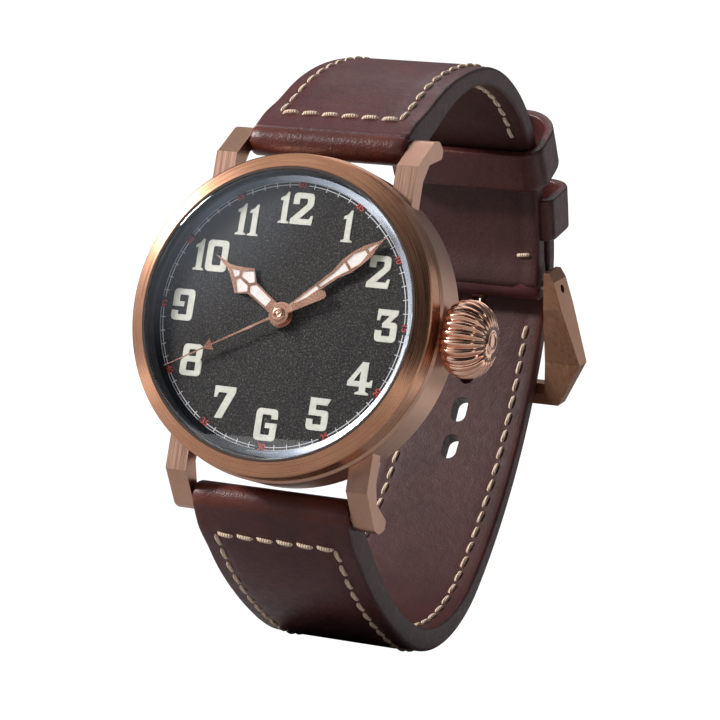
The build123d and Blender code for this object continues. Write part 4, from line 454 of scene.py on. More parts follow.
# The numbers are thick cream luminous paint, slab-footed and upright all round the dial. Each
# figure is drawn as outlines in a box one unit high; a third value at a corner rounds it off.
NUMBER_HEIGHT = 4.35
NUMBER_WIDTH = 4.15
NUMBER_GAP = 0.04
NUMBER_BEVEL = 0.03
ROUNDING_STEPS = 6
FIGURES = {
    "0": (0.78, [[(0, 0, 0.17), (0.78, 0, 0.17), (0.78, 1, 0.17), (0, 1, 0.17)],
                 [(0.235, 0.2, 0.05), (0.235, 0.8, 0.05), (0.545, 0.8, 0.05),
                  (0.545, 0.2, 0.05)]]),
    "1": (0.40, [[(0, 0), (0.4, 0), (0.39, 0.05), (0.31, 0.09), (0.31, 1.0, 0.03), (0.245, 1.0),
                  (0.16, 0.87), (0.02, 0.80), (0.0, 0.71), (0.105, 0.73), (0.105, 0.09),
                  (0.01, 0.05)]]),
    "2": (0.80, [[(0, 0), (0.77, 0), (0.80, 0.30), (0.72, 0.30), (0.66, 0.185), (0.33, 0.185),
                  (0.77, 0.60, 0.1), (0.77, 1, 0.17), (0.03, 1, 0.17), (0.03, 0.63),
                  (0.255, 0.63), (0.255, 0.82, 0.03), (0.535, 0.82, 0.03), (0.535, 0.66, 0.05),
                  (0, 0.155)]]),
    "3": (0.75, [[(0.02, 1), (0.73, 1), (0.73, 0.86), (0.50, 0.62), (0.75, 0.62, 0.15),
                  (0.75, 0, 0.17), (0, 0, 0.17), (0, 0.35), (0.235, 0.35), (0.235, 0.19, 0.03),
                  (0.515, 0.19, 0.03), (0.515, 0.44, 0.03), (0.22, 0.44), (0.22, 0.57),
                  (0.44, 0.81), (0.16, 0.81), (0.12, 0.65), (0.02, 0.65)]]),
    "4": (0.86, [[(0.30, 0), (0.78, 0), (0.77, 0.06), (0.66, 0.10), (0.66, 0.24), (0.86, 0.24),
                  (0.86, 0.47), (0.80, 0.47), (0.76, 0.40), (0.66, 0.40), (0.66, 1), (0.44, 1),
                  (0, 0.38), (0, 0.24), (0.43, 0.24), (0.43, 0.10), (0.31, 0.06)],
                 [(0.43, 0.40), (0.20, 0.40), (0.43, 0.74)]]),
    "5": (0.76, [[(0.05, 1), (0.77, 1), (0.66, 0.79), (0.28, 0.79), (0.28, 0.635),
                  (0.75, 0.635, 0.15), (0.75, 0, 0.17), (0, 0, 0.17), (0, 0.34), (0.235, 0.34),
                  (0.235, 0.19, 0.03), (0.515, 0.19, 0.03), (0.515, 0.455, 0.03),
                  (0.05, 0.455)]]),
    "6": (0.78, [[(0, 0, 0.17), (0.78, 0, 0.17), (0.78, 0.56), (0.36, 0.56), (0.36, 0.40),
                  (0.545, 0.40), (0.545, 0.19, 0.03), (0.235, 0.19, 0.03), (0.235, 0.81, 0.03),
                  (0.545, 0.81, 0.03), (0.545, 0.69), (0.78, 0.69), (0.78, 1, 0.17),
                  (0, 1, 0.17)]]),
    "7": (0.78, [[(0.01, 1), (0.78, 1), (0.78, 0.84), (0.40, 0), (0.12, 0), (0.47, 0.80),
                  (0.17, 0.80), (0.12, 0.64), (0.01, 0.64)]]),
    "8": (0.78, [[(0, 0, 0.17), (0.78, 0, 0.17), (0.78, 0.50, 0.1), (0.70, 0.535),
                  (0.745, 0.58, 0.06), (0.745, 1, 0.17), (0.035, 1, 0.17), (0.035, 0.58, 0.06),
                  (0.08, 0.535), (0, 0.50, 0.1)],
                 [(0.235, 0.17, 0.03), (0.235, 0.44, 0.03), (0.545, 0.44, 0.03),
                  (0.545, 0.17, 0.03)],
                 [(0.26, 0.62, 0.03), (0.26, 0.83, 0.03), (0.52, 0.83, 0.03),
                  (0.52, 0.62, 0.03)]]),
}
FIGURES["9"] = (0.78, [[(0.78 - corner[0], 1 - corner[1], *corner[2:]) for corner in loop]
                       for loop in FIGURES["6"][1]])
NUMBER_PLACES = {
    "12": (-0.3, 14.6), "1": (7.6, 12.8), "2": (13.1, 7.1), "3": (15.3, 0.05),
    "4": (12.75, -7.2), "5": (7.5, -12.6), "6": (0.2, -14.8), "7": (-6.5, -12.5),
    "8": (-12.3, -7.3), "9": (-14.9, 0.06), "10": (-11.9, 7.15), "11": (-7.2, 12.5)}
lume_paint = Finish("number_lume", Roughness=0.62)
lume_clouds = lume_paint.clouded(1500.0, (0.35, 0.45, 0.44, 0.37), (0.65, 0.53, 0.52, 0.44))
lume_paint.relief(lume_clouds, 0.00004, 0.6)


def eased(loop):
    """The loop with each corner that names a radius rounded off."""
    points = []
    for number, corner in enumerate(loop):
        here = Vector(corner[:2])
        if len(corner) < 3:
            points.append(here)
            continue
        before = here + (Vector(loop[number - 1][:2]) - here).normalized() * corner[2]
        after = here + (Vector(loop[(number + 1) % len(loop)][:2]) - here).normalized() * corner[2]
        for step in range(ROUNDING_STEPS):
            share = step / (ROUNDING_STEPS - 1)
            points.append(before * (1 - share) ** 2 + here * 2 * share * (1 - share)
                          + after * share ** 2)
    return points


def lay_on_dial(piece, x, y, height, turn=0.0):
    """Lays flat lettering on the dial, facing out and turned about its own middle."""
    piece.matrix_world = (Matrix.Translation(on_dial(x, y, height))
                          @ Matrix.Rotation(math.radians(90), 4, "X")
                          @ Matrix.Rotation(turn, 4, "Z"))
    bpy.context.scene.collection.objects.link(piece)
    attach(piece, "case")


for figures, (middle_x, middle_y) in NUMBER_PLACES.items():
    outline = bpy.data.curves.new("number_" + figures, "CURVE")
    outline.dimensions = "2D"
    outline.fill_mode = "BOTH"
    outline.extrude = NUMBER_BEVEL * MM
    outline.bevel_depth = NUMBER_BEVEL * MM
    outline.bevel_resolution = 1
    outline.offset = -NUMBER_BEVEL * MM
    outline.materials.append(lume_paint.material)
    width = sum(FIGURES[figure][0] for figure in figures) + NUMBER_GAP * (len(figures) - 1)
    left = -width / 2
    for figure in figures:
        wide, loops = FIGURES[figure]
        for loop in loops:
            points = eased(loop)
            spline = outline.splines.new("POLY")
            spline.points.add(len(points) - 1)
            spline.use_cyclic_u = True
            for point, place in zip(spline.points, points):
                point.co = ((left + place.x) * NUMBER_WIDTH * MM,
                            (place.y - 0.5) * NUMBER_HEIGHT * MM, 0, 1)
        left += wide + NUMBER_GAP
    number = bpy.data.objects.new("number_" + figures, outline)
    lay_on_dial(number, middle_x, middle_y, DIAL_HEIGHT + NUMBER_BEVEL)


# The minute track is printed in thin pale ink: two rings joined by ticks. The rings stop short
# of the red numbers, and no tick stands at them.
TRACK_RADII = (17.8, 18.2)
TRACK_LINE = 0.05
TICK_REACH = (17.45, 18.3)
TRACK_STEPS = 240
STEPS_PER_HOUR = TRACK_STEPS // 12
STEPS_OFF_NUMBER = 2
track_ink = Finish("track_ink", Roughness=0.6)
track_ink.clouded(2000.0, (0.3, 0.42, 0.43, 0.44), (0.7, 0.62, 0.63, 0.64))


def compass(radius, minutes):
    """A place on the dial at a radius and a number of minutes past the hour."""
    turn = math.radians(90 - minutes * 6)
    return (radius * math.cos(turn), radius * math.sin(turn))


def plate(outlines, low, high):
    """Corners and faces of flat plates, cut to outlines of (x, y) in millimetres on the dial."""
    corners = []
    faces = []
    for outline in outlines:
        first = len(corners)
        count = len(outline)
        corners += [on_dial(x, y, low) for x, y in outline]
        corners += [on_dial(x, y, high) for x, y in outline]
        faces.append(tuple(range(first, first + count)))
        faces.append(tuple(range(first + 2 * count - 1, first + count - 1, -1)))
        faces += skin(2, count, first)
    return corners, faces


track_outlines = []
for track_radius in TRACK_RADII:
    for step in range(TRACK_STEPS):
        past_number = step % STEPS_PER_HOUR
        if past_number < STEPS_OFF_NUMBER or past_number > STEPS_PER_HOUR - STEPS_OFF_NUMBER:
            continue
        start, end = step / 4, (step + 1) / 4
        inner, outer = track_radius - TRACK_LINE, track_radius + TRACK_LINE
        track_outlines.append([compass(inner, start), compass(inner, end),
                               compass(outer, end), compass(outer, start)])
for minute in range(60):
    if minute % 5 == 0:
        continue
    x, y = compass(1.0, minute)
    inner, outer = TICK_REACH
    track_outlines.append([(x * reach - y * side * TRACK_LINE, y * reach + x * side * TRACK_LINE)
                           for reach, side in ((inner, -1), (outer, -1), (outer, 1), (inner, 1))])
track_corners, track_faces = plate(track_outlines, DIAL_HEIGHT - 0.01, DIAL_HEIGHT + 0.02)
solid_piece("minute_track", track_corners, track_faces, track_ink, "case", smooth=False)


# Small red numbers are printed every five minutes on the track. Those in the lower half stand
# the other way up, so that all can be read.
RED_SIZE = 1.2
RED_RADIUS = 17.85
RED_THICKNESS = 0.012
red_ink = Finish("red_ink", Roughness=0.6)
red_ink.clouded(2000.0, (0.3, 0.40, 0.02, 0.015), (0.7, 0.58, 0.035, 0.025))
for minute in range(5, 65, 5):
    letters = bpy.data.curves.new("red_%02d" % minute, "FONT")
    letters.body = "%02d" % minute
    letters.size = RED_SIZE * MM
    letters.align_x = "CENTER"
    letters.align_y = "CENTER"
    letters.extrude = RED_THICKNESS * MM
    letters.materials.append(red_ink.material)
    turn = -math.radians(minute * 6)
    if 15 < minute < 45:
        turn += math.pi
    lay_on_dial(bpy.data.objects.new("red_minutes_%02d" % minute, letters),
                *compass(RED_RADIUS, minute), DIAL_HEIGHT + RED_THICKNESS, turn)


# The hands are stamped from thin sheet, plated rose gold and polished, with white luminous paint
# laid in their open cells from behind. A turned cap closes the seconds hand's hub.
HUB_STEPS = 60
hand_gold = Finish("hand_gold", Metallic=1.0, Roughness=0.2)
hand_clouds = hand_gold.grain(hand_gold.place(), 300.0, 1.0)
hand_gold.tones(hand_clouds, (0.35, 0.80, 0.43, 0.30), (0.65, 0.86, 0.49, 0.35))
hand_gold.gloss(hand_clouds, 0.22, 0.28)
dress(hand_gold, "hour_hand", "minute_hand", "seconds_hand")
white_lume = Finish("hand_lume", Roughness=0.55)
white_lume.clouded(1800.0, (0.35, 0.58, 0.53, 0.49), (0.65, 0.66, 0.61, 0.57))
dress(white_lume, "hour_hand_lume", "minute_hand_lume")
hub_profile = [(0.0, 12.30), (0.22, 12.30), (0.27, 12.27), (0.33, 12.27), (0.38, 12.31),
               (0.62, 12.31), (0.78, 12.27), (0.9, 12.17), (0.95, 12.03), (0.3, 12.03)]
solid_piece("seconds_hub_cap", turned(hub_profile, HUB_STEPS), skin(len(hub_profile), HUB_STEPS),
            hand_gold, "seconds")


# The crown is turned from bronze, fluted like an onion and polished. Its round ridges run from
# the foot to a small plain disc on the end.
CROWN_FOOT = 23.05
CROWN_HEIGHT = 6.7
CROWN_BORE = 1.55
CROWN_BELLY = 2.2
CROWN_END_SHARE = 3.4
CROWN_NECK = 1.9
CROWN_DISC = 1.75
CROWN_RADIUS = 5.3
CROWN_LIP = 0.15
CROWN_LENGTH = 5.5
CROWN_RINGS = 26
CROWN_RIDGES = 24
CROWN_AROUND = CROWN_RIDGES * 12
FLUTE_SHAPE = 1.6
FLUTE_END_DEPTH = 0.16
FLUTE_BELLY_DEPTH = 0.46
CROWN_END = ((1.72, 5.52), (1.66, 5.64), (1.50, 5.68), (1.22, 5.68), (1.16, 5.62), (1.06, 5.62),
             (1.0, 5.67), (0.5, 5.68), (0.0, 5.68))
crown_turns = [2 * math.pi * step / CROWN_AROUND for step in range(CROWN_AROUND)]
flutes = [(0.5 - 0.5 * math.cos(CROWN_RIDGES * turn)) ** FLUTE_SHAPE for turn in crown_turns]


def crown_ring(along, radii):
    """Corners of one ring of the crown, from its radius at each step round it."""
    return [((CROWN_FOOT + along) * MM, (-CROWN_HEIGHT + radius * math.sin(turn)) * MM,
             radius * math.cos(turn) * MM) for radius, turn in zip(radii, crown_turns)]


def fluted_radii(along):
    """The radius at each step round the crown: ridges with flutes between them."""
    lean = (along - CROWN_BELLY) / CROWN_END_SHARE
    ridge = CROWN_NECK + CROWN_END_SHARE * math.sqrt(max(1 - lean * lean, 0))
    share = max(ridge - CROWN_DISC, 0) / (CROWN_RADIUS - CROWN_DISC)
    depth = FLUTE_END_DEPTH + (FLUTE_BELLY_DEPTH - FLUTE_END_DEPTH) * share
    return [ridge - depth * flute for flute in flutes]


crown_gold = Finish("crown_polish", Metallic=1.0, Roughness=0.14)
crown_clouds = crown_gold.clouded(500.0, (0.35, 0.70, 0.36, 0.25), (0.65, 0.86, 0.52, 0.38))
crown_gold.gloss(crown_clouds, 0.11, 0.2)
crown_corners = crown_ring(0.0, [CROWN_BORE] * CROWN_AROUND) + crown_ring(0.0, fluted_radii(0.0))
for number in range(CROWN_RINGS + 1):
    along = CROWN_LIP + (CROWN_LENGTH - CROWN_LIP) * number / CROWN_RINGS
    crown_corners += crown_ring(along, fluted_radii(along))
for radius, along in CROWN_END:
    crown_corners += crown_ring(along, [radius] * CROWN_AROUND)
solid_piece("onion_crown", crown_corners, skin(len(crown_corners) // CROWN_AROUND, CROWN_AROUND),
            crown_gold, "crown", standing_for=("crown",))


# The small load-bearing parts are turned or stamped from bright steel: the crown's tube and
# stem, the bars that hold the strap, the screws and the escapement.
steel = Finish("turned_steel", Metallic=1.0, Roughness=0.28)
steel_clouds = steel.clouded(1200.0, (0.3, 0.46, 0.46, 0.47), (0.7, 0.62, 0.62, 0.63))
steel.gloss(steel_clouds, 0.22, 0.36)
dress(steel, "crown_tube", "winding_stem", "cannon_pinion", "escape_wheel", "pallet_fork",
      "hairspring", "bridge_screws", "rotor_bearing", "spring_bar_12", "spring_bar_6",
      "buckle_bar")


# The movement lies behind the dial: nickel plated bridges and rotor, gilt brass wheels, ruby
# jewels pressed into the bridges, and a black ring that holds it in the case.
nickel = Finish("nickel_plate", Metallic=1.0, Roughness=0.25)
nickel_lines = nickel.node("TexWave", {"Vector": nickel.place(), "Scale": 260.0,
                                       "Distortion": 0.6}).outputs["Fac"]
nickel.tones(nickel_lines, (0.2, 0.55, 0.53, 0.50), (0.8, 0.70, 0.68, 0.64))
nickel.gloss(nickel_lines, 0.18, 0.32)
dress(nickel, "main_plate", "barrel_bridge", "train_bridge", "balance_cock", "rotor")
brass = Finish("gilt_brass", Metallic=1.0, Roughness=0.25)
brass.clouded(1500.0, (0.3, 0.62, 0.42, 0.14), (0.7, 0.80, 0.58, 0.24))
dress(brass, "barrel", "centre_wheel", "third_wheel", "fourth_wheel", "balance_wheel",
      "minute_wheel", "hour_wheel")
ruby = Finish("ruby", Roughness=0.1)
ruby.clouded(2500.0, (0.3, 0.30, 0.01, 0.04), (0.7, 0.48, 0.02, 0.07))
dress(ruby, "jewels")
ring_black = Finish("holder_ring", Roughness=0.5)
ring_black.clouded(1500.0, (0.3, 0.03, 0.03, 0.03), (0.7, 0.06, 0.06, 0.06))
dress(ring_black, "movement_ring")


# The strap is thick burgundy brown calf, padded at the lugs, cut in two pieces that fold tightly
# round the bars. It is lined with a duller calf, and its edges are cut square and painted. Each
# piece follows legs of (length, turn in degrees) in the watch's middle plane.
def arc(radius, turn):
    """A leg of the strap's path that turns through an arc of this radius."""
    return (radius * math.radians(abs(turn)), turn)


STRAP_WIDTH = 23.4
STRAP_END_WIDTH = 21.6
FOLD_THICKNESS = 4.3
FOLD_RADIUS = FOLD_THICKNESS / 2
FOLD_STEPS = 40
PADDED_THICKNESS = 4.7
UPPER_THIN = 2.9
LOWER_BEND_THICKNESS = 3.6
LOWER_THIN = 2.7
PADDING_END = 28
PADDING_SINK = 0.55
TIP_LENGTH = 8.0
TIP_END_SHARE = 0.3
UPPER_LEGS = [(11.5, 0), arc(34.0, -28), arc(28.0, -73), arc(67.0, -12)]
UPPER_LENGTH = sum(length for length, turn in UPPER_LEGS)
LOWER_LEGS = [arc(52.0, 35), arc(23.0, 65), arc(73.6, 39.82), (4.93, 20.18), (10.57, 8.55)]
LOWER_LENGTH = sum(length for length, turn in LOWER_LEGS)
LOWER_BEND = sum(length for length, turn in LOWER_LEGS[:2])
TAIL_PAST_BUCKLE = 15.5
LOWER_AT_BUCKLE = LOWER_LENGTH - TAIL_PAST_BUCKLE
EDGE_ROW = 2.6
GROOVE_DEPTH = 0.16
GROOVE_WIDTH = 0.55
EDGE_ROUND = 0.45
EDGE_CUT = 0.6
TOP_POINTS = 31
EDGE_POINTS = 6
STRAP_RING = 2 * (TOP_POINTS + EDGE_POINTS)


def walk(start, heading, legs, distance):
    """The place (y, z) in millimetres and the heading in degrees at a distance along the legs."""
    y, z = start
    left = distance
    for number, (length, turn) in enumerate(legs):
        last = number == len(legs) - 1
        part = left if last else min(left, length)
        swing = turn * part / length
        if turn:
            radius = length / math.radians(turn)
            then = math.radians(heading + swing)
            now = math.radians(heading)
            y += radius * (math.sin(then) - math.sin(now))
            z -= radius * (math.cos(then) - math.cos(now))
        else:
            y += part * math.cos(math.radians(heading))
            z += part * math.sin(math.radians(heading))
        heading += swing
        left -= part
        if left <= 0 and not last:
            break
    return (y, z), heading


def ease(value, start, end, low, high):
    """Goes smoothly from low to high while value goes from start to end."""
    share = min(max((value - start) / (end - start), 0.0), 1.0)
    return low + (high - low) * share * share * (3 - 2 * share)


def near_lug(distance, thin):
    """The thickness near the lugs: a tight fold, then the padding, then thinner."""
    padded = ease(distance, 0, 4, FOLD_THICKNESS, PADDED_THICKNESS)
    return ease(distance, 8, PADDING_END, padded, thin)


def upper_thickness(distance):
    """The short piece's thickness, which grows again where it folds round the buckle's bar."""
    return ease(distance, UPPER_LENGTH - 5.2, UPPER_LENGTH - 1.08,
                near_lug(distance, UPPER_THIN), FOLD_THICKNESS)


def lower_thickness(distance):
    """The long piece's thickness, which thins again past its bend."""
    if distance < LOWER_BEND / 2:
        return near_lug(distance, LOWER_BEND_THICKNESS)
    return ease(distance, LOWER_BEND / 2, LOWER_AT_BUCKLE - PADDING_END,
                LOWER_BEND_THICKNESS, LOWER_THIN)


def upper_half_width(distance):
    """Half the short piece's width."""
    return ease(distance, 0, UPPER_LENGTH, STRAP_WIDTH, STRAP_END_WIDTH) / 2


def lower_half_width(distance):
    """Half the long piece's width, which ends in a round tip."""
    body = ease(distance, 0, LOWER_AT_BUCKLE, STRAP_WIDTH, STRAP_END_WIDTH)
    into_tip = min(max(distance - (LOWER_LENGTH - TIP_LENGTH), 0) / TIP_LENGTH, 1)
    end = TIP_END_SHARE ** 2
    return body / 2 * math.sqrt(max(1 - into_tip ** 2, 0) * (1 - end) + end)


UPPER = {"start": (-4.3, 25.0), "heading": 44.0, "legs": UPPER_LEGS, "out": 1,
         "thickness": upper_thickness, "half_width": upper_half_width, "box_row": 3.9}
LOWER = {"start": (-4.3, -25.0), "heading": -45.0, "legs": LOWER_LEGS, "out": -1,
         "thickness": lower_thickness, "half_width": lower_half_width, "box_row": 4.4}


def strap_height(piece, distance, x, side):
    """How far the leather lies from the strap's middle surface at x across it."""
    from_edge = piece["half_width"](distance) - abs(x)
    padded = ease(distance, 3, 9, 0, 1) * ease(distance, 16, 34, 1, 0.25)
    margin = ease(from_edge, 0.9, EDGE_ROW + 1.6, 1, 0)
    sunk = PADDING_SINK * padded * margin
    groove = GROOVE_DEPTH * math.exp(-((from_edge - EDGE_ROW) / GROOVE_WIDTH) ** 2)
    groove *= ease(distance, 2, 4, 0, 1)
    if side < 0:
        sunk *= 0.1
        groove *= 0.6
    return piece["thickness"](distance) / 2 - sunk - groove


def strap_point(piece, distance, x, lift):
    """A point in metres along the strap, x across it and lift outwards from its middle."""
    (y, z), heading = walk(piece["start"], piece["heading"], piece["legs"], distance)
    away = math.radians(heading) + math.pi / 2 * piece["out"]
    return Vector((x, y + lift * math.cos(away), z + lift * math.sin(away))) * MM


def strap_ring(piece, distance):
    """The strap's outline (x, lift) at a distance: top, right edge, underside, left edge."""
    wide = piece["half_width"](distance)
    flat = wide - EDGE_ROUND
    across = [(-1 + 2 * number / (TOP_POINTS - 1)) * flat for number in range(TOP_POINTS)]
    high = strap_height(piece, distance, flat, 1)
    low = -strap_height(piece, distance, flat, -1)

    def rounded(degrees, middle):
        turn = math.radians(degrees)
        return (flat + EDGE_ROUND * math.cos(turn), middle + EDGE_ROUND * math.sin(turn))

    right = [rounded(60, high - EDGE_ROUND), rounded(30, high - EDGE_ROUND),
             (wide, high - EDGE_CUT), (wide, low + EDGE_CUT),
             rounded(-30, low + EDGE_ROUND), rounded(-60, low + EDGE_ROUND)]
    left = [(-x, lift) for x, lift in reversed(right)]
    top = [(x, strap_height(piece, distance, x, 1)) for x in across]
    underside = [(x, -strap_height(piece, distance, x, -1)) for x in reversed(across)]
    return top + right + underside + left


def strap_mesh(piece, last, steps):
    """Corners and faces of a strap piece from its bar to a distance along it."""
    corners = []
    for number in range(steps + 1):
        distance = last * number / steps
        corners += [strap_point(piece, distance, x, lift)
                    for x, lift in strap_ring(piece, distance)]
    faces = [tuple(range(STRAP_RING)),
             tuple(range(len(corners) - 1, len(corners) - STRAP_RING - 1, -1))]
    return corners, faces + skin(steps + 1, STRAP_RING)


def burgundy_calf(name, dark, light, rough):
    """Waxed calf: clouded dye, fine pores and creases, and a soft shine."""
    calf = Finish(name, Roughness=rough)
    clouds = calf.grain(calf.place(), 120.0, 5.0)
    pores = calf.node("TexVoronoi", {"Vector": calf.place(), "Scale": 2300.0},
                      feature="DISTANCE_TO_EDGE").outputs[0]
    creases = calf.grain(calf.place(), 700.0, 6.0, 0.65)
    calf.tones(clouds, (0.3, *dark), (0.7, *light))
    calf.gloss(creases, rough - 0.08, rough + 0.12)
    under = calf.relief(creases, 0.00012, 0.9)
    calf.relief(calf.spread(pores, 0.0, 0.25, 0.0, 1.0), 0.00003, 0.5, under)
    calf.shader.inputs["Coat Weight"].default_value = 0.12
    calf.shader.inputs["Coat Roughness"].default_value = 0.3
    calf.shader.inputs["Specular IOR Level"].default_value = 0.34
    return calf


calf = burgundy_calf("strap_calf", (0.050, 0.010, 0.011), (0.095, 0.019, 0.019), 0.42)
lining_calf = burgundy_calf("lining_calf", (0.036, 0.009, 0.008), (0.060, 0.016, 0.013), 0.6)
edge_paint = burgundy_calf("edge_paint", (0.050, 0.015, 0.016), (0.072, 0.022, 0.022), 0.46)
fold_calf = burgundy_calf("fold_calf", (0.050, 0.009, 0.006), (0.120, 0.022, 0.012), 0.36)


def line_strap(strap):
    """Puts the lining on the strap's inner faces and the paint on its edges."""
    strap.data.materials.append(lining_calf.material)
    strap.data.materials.append(edge_paint.material)
    underside = TOP_POINTS + EDGE_POINTS
    for face in strap.data.polygons[2:]:
        step = (face.index - 2) % STRAP_RING
        if underside <= step < underside + TOP_POINTS - 1:
            face.material_index = 1
        elif TOP_POINTS <= step < underside - 1 or underside + TOP_POINTS <= step < STRAP_RING - 1:
            face.material_index = 2


def bar_fold(name, place, half_width, finish):
    """A round fold of leather across the strap at a place (y, z), with softened ends."""
    end = [(half_width, 0.0), (half_width, FOLD_RADIUS - 0.5),
           (half_width - 0.15, FOLD_RADIUS - 0.15), (half_width - 0.5, FOLD_RADIUS)]
    profile = [(-x, radius) for x, radius in end]
    profile += [(-half_width + 2 * half_width * number / 12, FOLD_RADIUS)
                for number in range(1, 12)]
    profile += reversed(end)
    turns = [2 * math.pi * step / FOLD_STEPS for step in range(FOLD_STEPS)]
    corners = [Vector((x, place[0] + radius * math.cos(turn), place[1] + radius * math.sin(turn)))
               * MM for x, radius in profile for turn in turns]
    solid_piece(name, corners, skin(len(profile), FOLD_STEPS), finish, "case")


upper_corners, upper_faces = strap_mesh(UPPER, UPPER_LENGTH, 80)
short_strap = solid_piece("short_strap", upper_corners, upper_faces, calf, "case",
                          standing_for=("strap_12",))
line_strap(short_strap)
buckle_bar = walk(UPPER["start"], UPPER["heading"], UPPER["legs"], UPPER_LENGTH)[0]
bar_fold("short_strap_lug_fold", UPPER["start"], STRAP_WIDTH / 2, fold_calf)
bar_fold("short_strap_bar_fold", buckle_bar, STRAP_END_WIDTH / 2, calf)
lower_corners, lower_faces = strap_mesh(LOWER, LOWER_LENGTH, 150)
long_strap = solid_piece("long_strap", lower_corners, lower_faces, calf, "case",
                         standing_for=("strap_6",))
line_strap(long_strap)
bar_fold("long_strap_lug_fold", LOWER["start"], STRAP_WIDTH / 2, fold_calf)


# Seven oval holes for the tongue are punched through the long piece, and their walls are
# painted like the edges.
HOLE_COUNT = 7
HOLES_PAST_TONGUE = 2
HOLE_PITCH = 6.4
HOLE_LENGTH = 4.1
HOLE_WIDTH = 2.5
HOLE_STEPS = 24
PUNCH_REACH = 4.5
TONGUE_FROM_BAR = 2.9
TONGUE_HOLE = LOWER_AT_BUCKLE - TONGUE_FROM_BAR
punch_corners = []
punch_faces = []
for number in range(HOLE_COUNT):
    distance = TONGUE_HOLE + (HOLES_PAST_TONGUE - number) * HOLE_PITCH
    first = len(punch_corners)
    ahead = strap_point(LOWER, distance + 0.1, 0, 0) - strap_point(LOWER, distance, 0, 0)
    ahead.normalize()
    for lift in (-PUNCH_REACH, PUNCH_REACH):
        for step in range(HOLE_STEPS):
            turn = 2 * math.pi * (step + 0.5) / HOLE_STEPS
            x = HOLE_WIDTH / 2 * math.cos(turn)
            along = (HOLE_WIDTH / 2 * math.sin(turn)
                     + math.copysign((HOLE_LENGTH - HOLE_WIDTH) / 2, math.sin(turn)))
            punch_corners.append(strap_point(LOWER, distance, x, lift) + ahead * along * MM)
    punch_faces.append(tuple(range(first, first + HOLE_STEPS)))
    punch_faces.append(tuple(range(first + 2 * HOLE_STEPS - 1, first + HOLE_STEPS - 1, -1)))
    punch_faces += skin(2, HOLE_STEPS, first)
punches = solid_piece("punches", punch_corners, punch_faces, edge_paint, None, smooth=False)
cut = long_strap.modifiers.new("punched", "BOOLEAN")
cut.object = punches
cut.operation = "DIFFERENCE"
cut.solver = "EXACT"
cut.material_mode = "TRANSFER"
evaluated = bpy.context.evaluated_depsgraph_get()
punched = bpy.data.meshes.new_from_object(long_strap.evaluated_get(evaluated))
long_strap.modifiers.clear()
long_strap.data = punched
punched.set_sharp_from_angle(angle=math.radians(40))
bpy.data.objects.remove(punches)


# The stitches are thick cream linen thread, sewn by hand: rows near the edges, also on the
# lining, a row across that closes the fold round each spring bar, and two tacks by the buckle.
STITCH = 2.45
CROSS_STITCH = STITCH + 0.3
STITCH_PITCH = 2.9
THREAD = 0.31
STITCH_RINGS = 7
STITCH_STEPS = 8
STITCH_SLANT = 0.16
STITCH_STAND = 0.16
STITCH_DIP = 0.42
thread = Finish("linen_thread", Roughness=0.7)
thread_twist = thread.node("TexWave", {"Vector": thread.place(), "Scale": 900.0,
                                       "Distortion": 1.5}).outputs["Fac"]
thread.tones(thread_twist, (0.2, 0.62, 0.44, 0.31), (0.8, 0.80, 0.62, 0.47))
thread.relief(thread_twist, 0.00008, 0.8)


def stitch(piece, distance, x, along_strap, side, corners, faces, length=STITCH):
    """Adds one stitch: a short round thread that dips into the leather at both ends."""
    first = len(corners)
    for number in range(STITCH_RINGS):
        share = -1 + 2 * number / (STITCH_RINGS - 1)
        thick = THREAD * (1 - 0.6 * share ** 6)
        lean = STITCH_SLANT * share
        here = distance + (share * length / 2 if along_strap else lean * side)
        over = x + (lean if along_strap else share * length / 2)
        height = strap_height(piece, here, over, side) + STITCH_STAND - STITCH_DIP * share ** 4
        middle = strap_point(piece, here, over, side * height)
        out = (strap_point(piece, here, over, side * (height + 1)) - middle).normalized()
        ahead = strap_point(piece, here + 0.1, over, side * height) - middle
        across = Vector((1, 0, 0)) if along_strap else ahead.normalized()
        for step in range(STITCH_STEPS):
            turn = 2 * math.pi * step / STITCH_STEPS
            corners.append(middle + (across * math.cos(turn) + out * math.sin(turn)) * thick * MM)
    faces += skin(STITCH_RINGS, STITCH_STEPS, first)
    faces.append(tuple(range(first, first + STITCH_STEPS)))
    faces.append(tuple(range(len(corners) - 1, len(corners) - STITCH_STEPS - 1, -1)))


def stitch_rows(name, piece, last, cross_row, side, tack=None):
    """Rows of stitches near both edges from the row across to a distance, and the row itself."""
    corners = []
    faces = []
    first = piece["box_row"]
    count = round((last - first) / STITCH_PITCH)
    for number in range(count):
        distance = first + (last - first) * (number + 0.5) / count
        for edge in (-1, 1):
            x = edge * (piece["half_width"](distance) - EDGE_ROW)
            stitch(piece, distance, x, True, side, corners, faces)
    if cross_row:
        half = piece["half_width"](first) - EDGE_ROW
        across = round(2 * half / STITCH_PITCH)
        for number in range(across):
            x = -half + 2 * half * (number + 0.5) / across
            stitch(piece, first, x, False, side, corners, faces, CROSS_STITCH)
    if tack:
        for edge in (-1, 1):
            stitch(piece, tack[0], edge * tack[1], False, side, corners, faces)
    solid_piece(name, corners, faces, thread, "case")


stitch_rows("short_strap_stitches", UPPER, UPPER_LENGTH - 12.5, True, 1)
stitch_rows("short_strap_lining_stitches", UPPER, UPPER_LENGTH - 26.0, False, -1,
            tack=(UPPER_LENGTH - 5.2, 8.3))
stitch_rows("long_strap_stitches", LOWER, LOWER_AT_BUCKLE - 26.0, True, 1)
stitch_rows("long_strap_lining_stitches", LOWER, LOWER_AT_BUCKLE - 7.0, False, -1)


# Two loops of the same leather hold the strap's end. One is sewn in place near the buckle, and
# the other slides along the strap.
LOOP_WALL = 1.35
LOOP_HALF_WIDTH = 3.3
LOOP_ROOM = 0.6
LOOP_CORNER_STEPS = 12


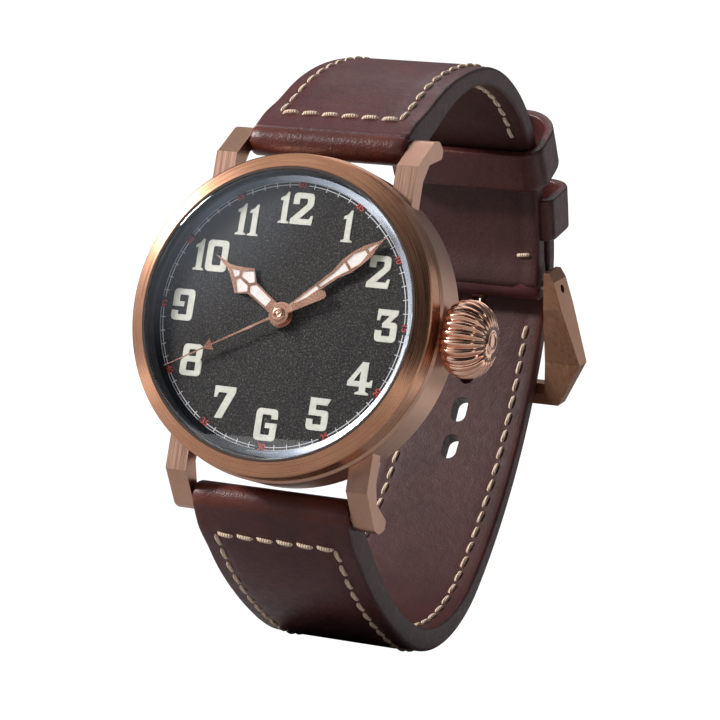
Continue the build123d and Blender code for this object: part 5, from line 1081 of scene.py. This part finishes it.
def leather_loop(name, body, stands_for, reach, low, high, corner, bend):
    """A loop reach before the buckle's bar, between two heights over the short piece's middle.

    Its corners are rounded to the radius corner below, and to the radius bend above.
    """
    distance = UPPER_LENGTH - reach
    (y, z), heading = walk(UPPER["start"], UPPER["heading"], UPPER["legs"], distance)
    along = Vector((0, math.cos(math.radians(heading)), math.sin(math.radians(heading))))
    up = Vector((0, -along.z, along.y))
    wide = upper_half_width(distance) + LOOP_ROOM
    end = LOOP_HALF_WIDTH
    edge = [(0.08, end - 0.06), (0.3, end), (LOOP_WALL / 2, end + 0.01), (LOOP_WALL - 0.3, end),
            (LOOP_WALL - 0.08, end - 0.06), (LOOP_WALL, end - 0.25)]
    profile = [(0.0, -end + 0.25), (0.0, end - 0.25)] + edge
    profile += [(LOOP_WALL, end - 0.9), (LOOP_WALL + 0.02, 0.0), (LOOP_WALL, -end + 0.9)]
    profile += [(proud, -slide) for proud, slide in reversed(edge)]
    corners = []
    for side, middle, radius, start in ((1, high - bend, bend, 0), (-1, high - bend, bend, 90),
                                        (-1, low + corner, corner, 180),
                                        (1, low + corner, corner, 270)):
        for step in range(LOOP_CORNER_STEPS + 1):
            turn = math.radians(start + 90 * step / LOOP_CORNER_STEPS)
            for proud, slide in profile:
                far = radius + proud
                corners.append((Vector((side * (wide - radius) + math.cos(turn) * far, y, z))
                                + up * (middle + math.sin(turn) * far) + along * slide) * MM)
    faces = skin(len(corners) // len(profile), len(profile), closed=True)
    solid_piece(name, corners, faces, loop_calf, body, standing_for=(stands_for,))


loop_calf = burgundy_calf("loop_calf", (0.050, 0.011, 0.010), (0.095, 0.022, 0.018), 0.38)
leather_loop("fixed_loop", "case", "keeper_fixed", 10.7, LOOP_WALL / 2, 8.9, 0.4, 3.2)
leather_loop("sliding_loop", "free_keeper", "keeper_free", 20.7, -2.45, 7.55, 1.9, 5.2)


# The buckle is a big frame milled from bronze plate and brushed. A bar in its ends holds the
# strap and the tongue.
buckle_bronze = brushed_bronze("buckle_bronze", (0.48, 0.26, 0.16), (0.38, 0.19, 0.115), 0.36)
dress(buckle_bronze, "buckle_frame", "buckle_tongue")
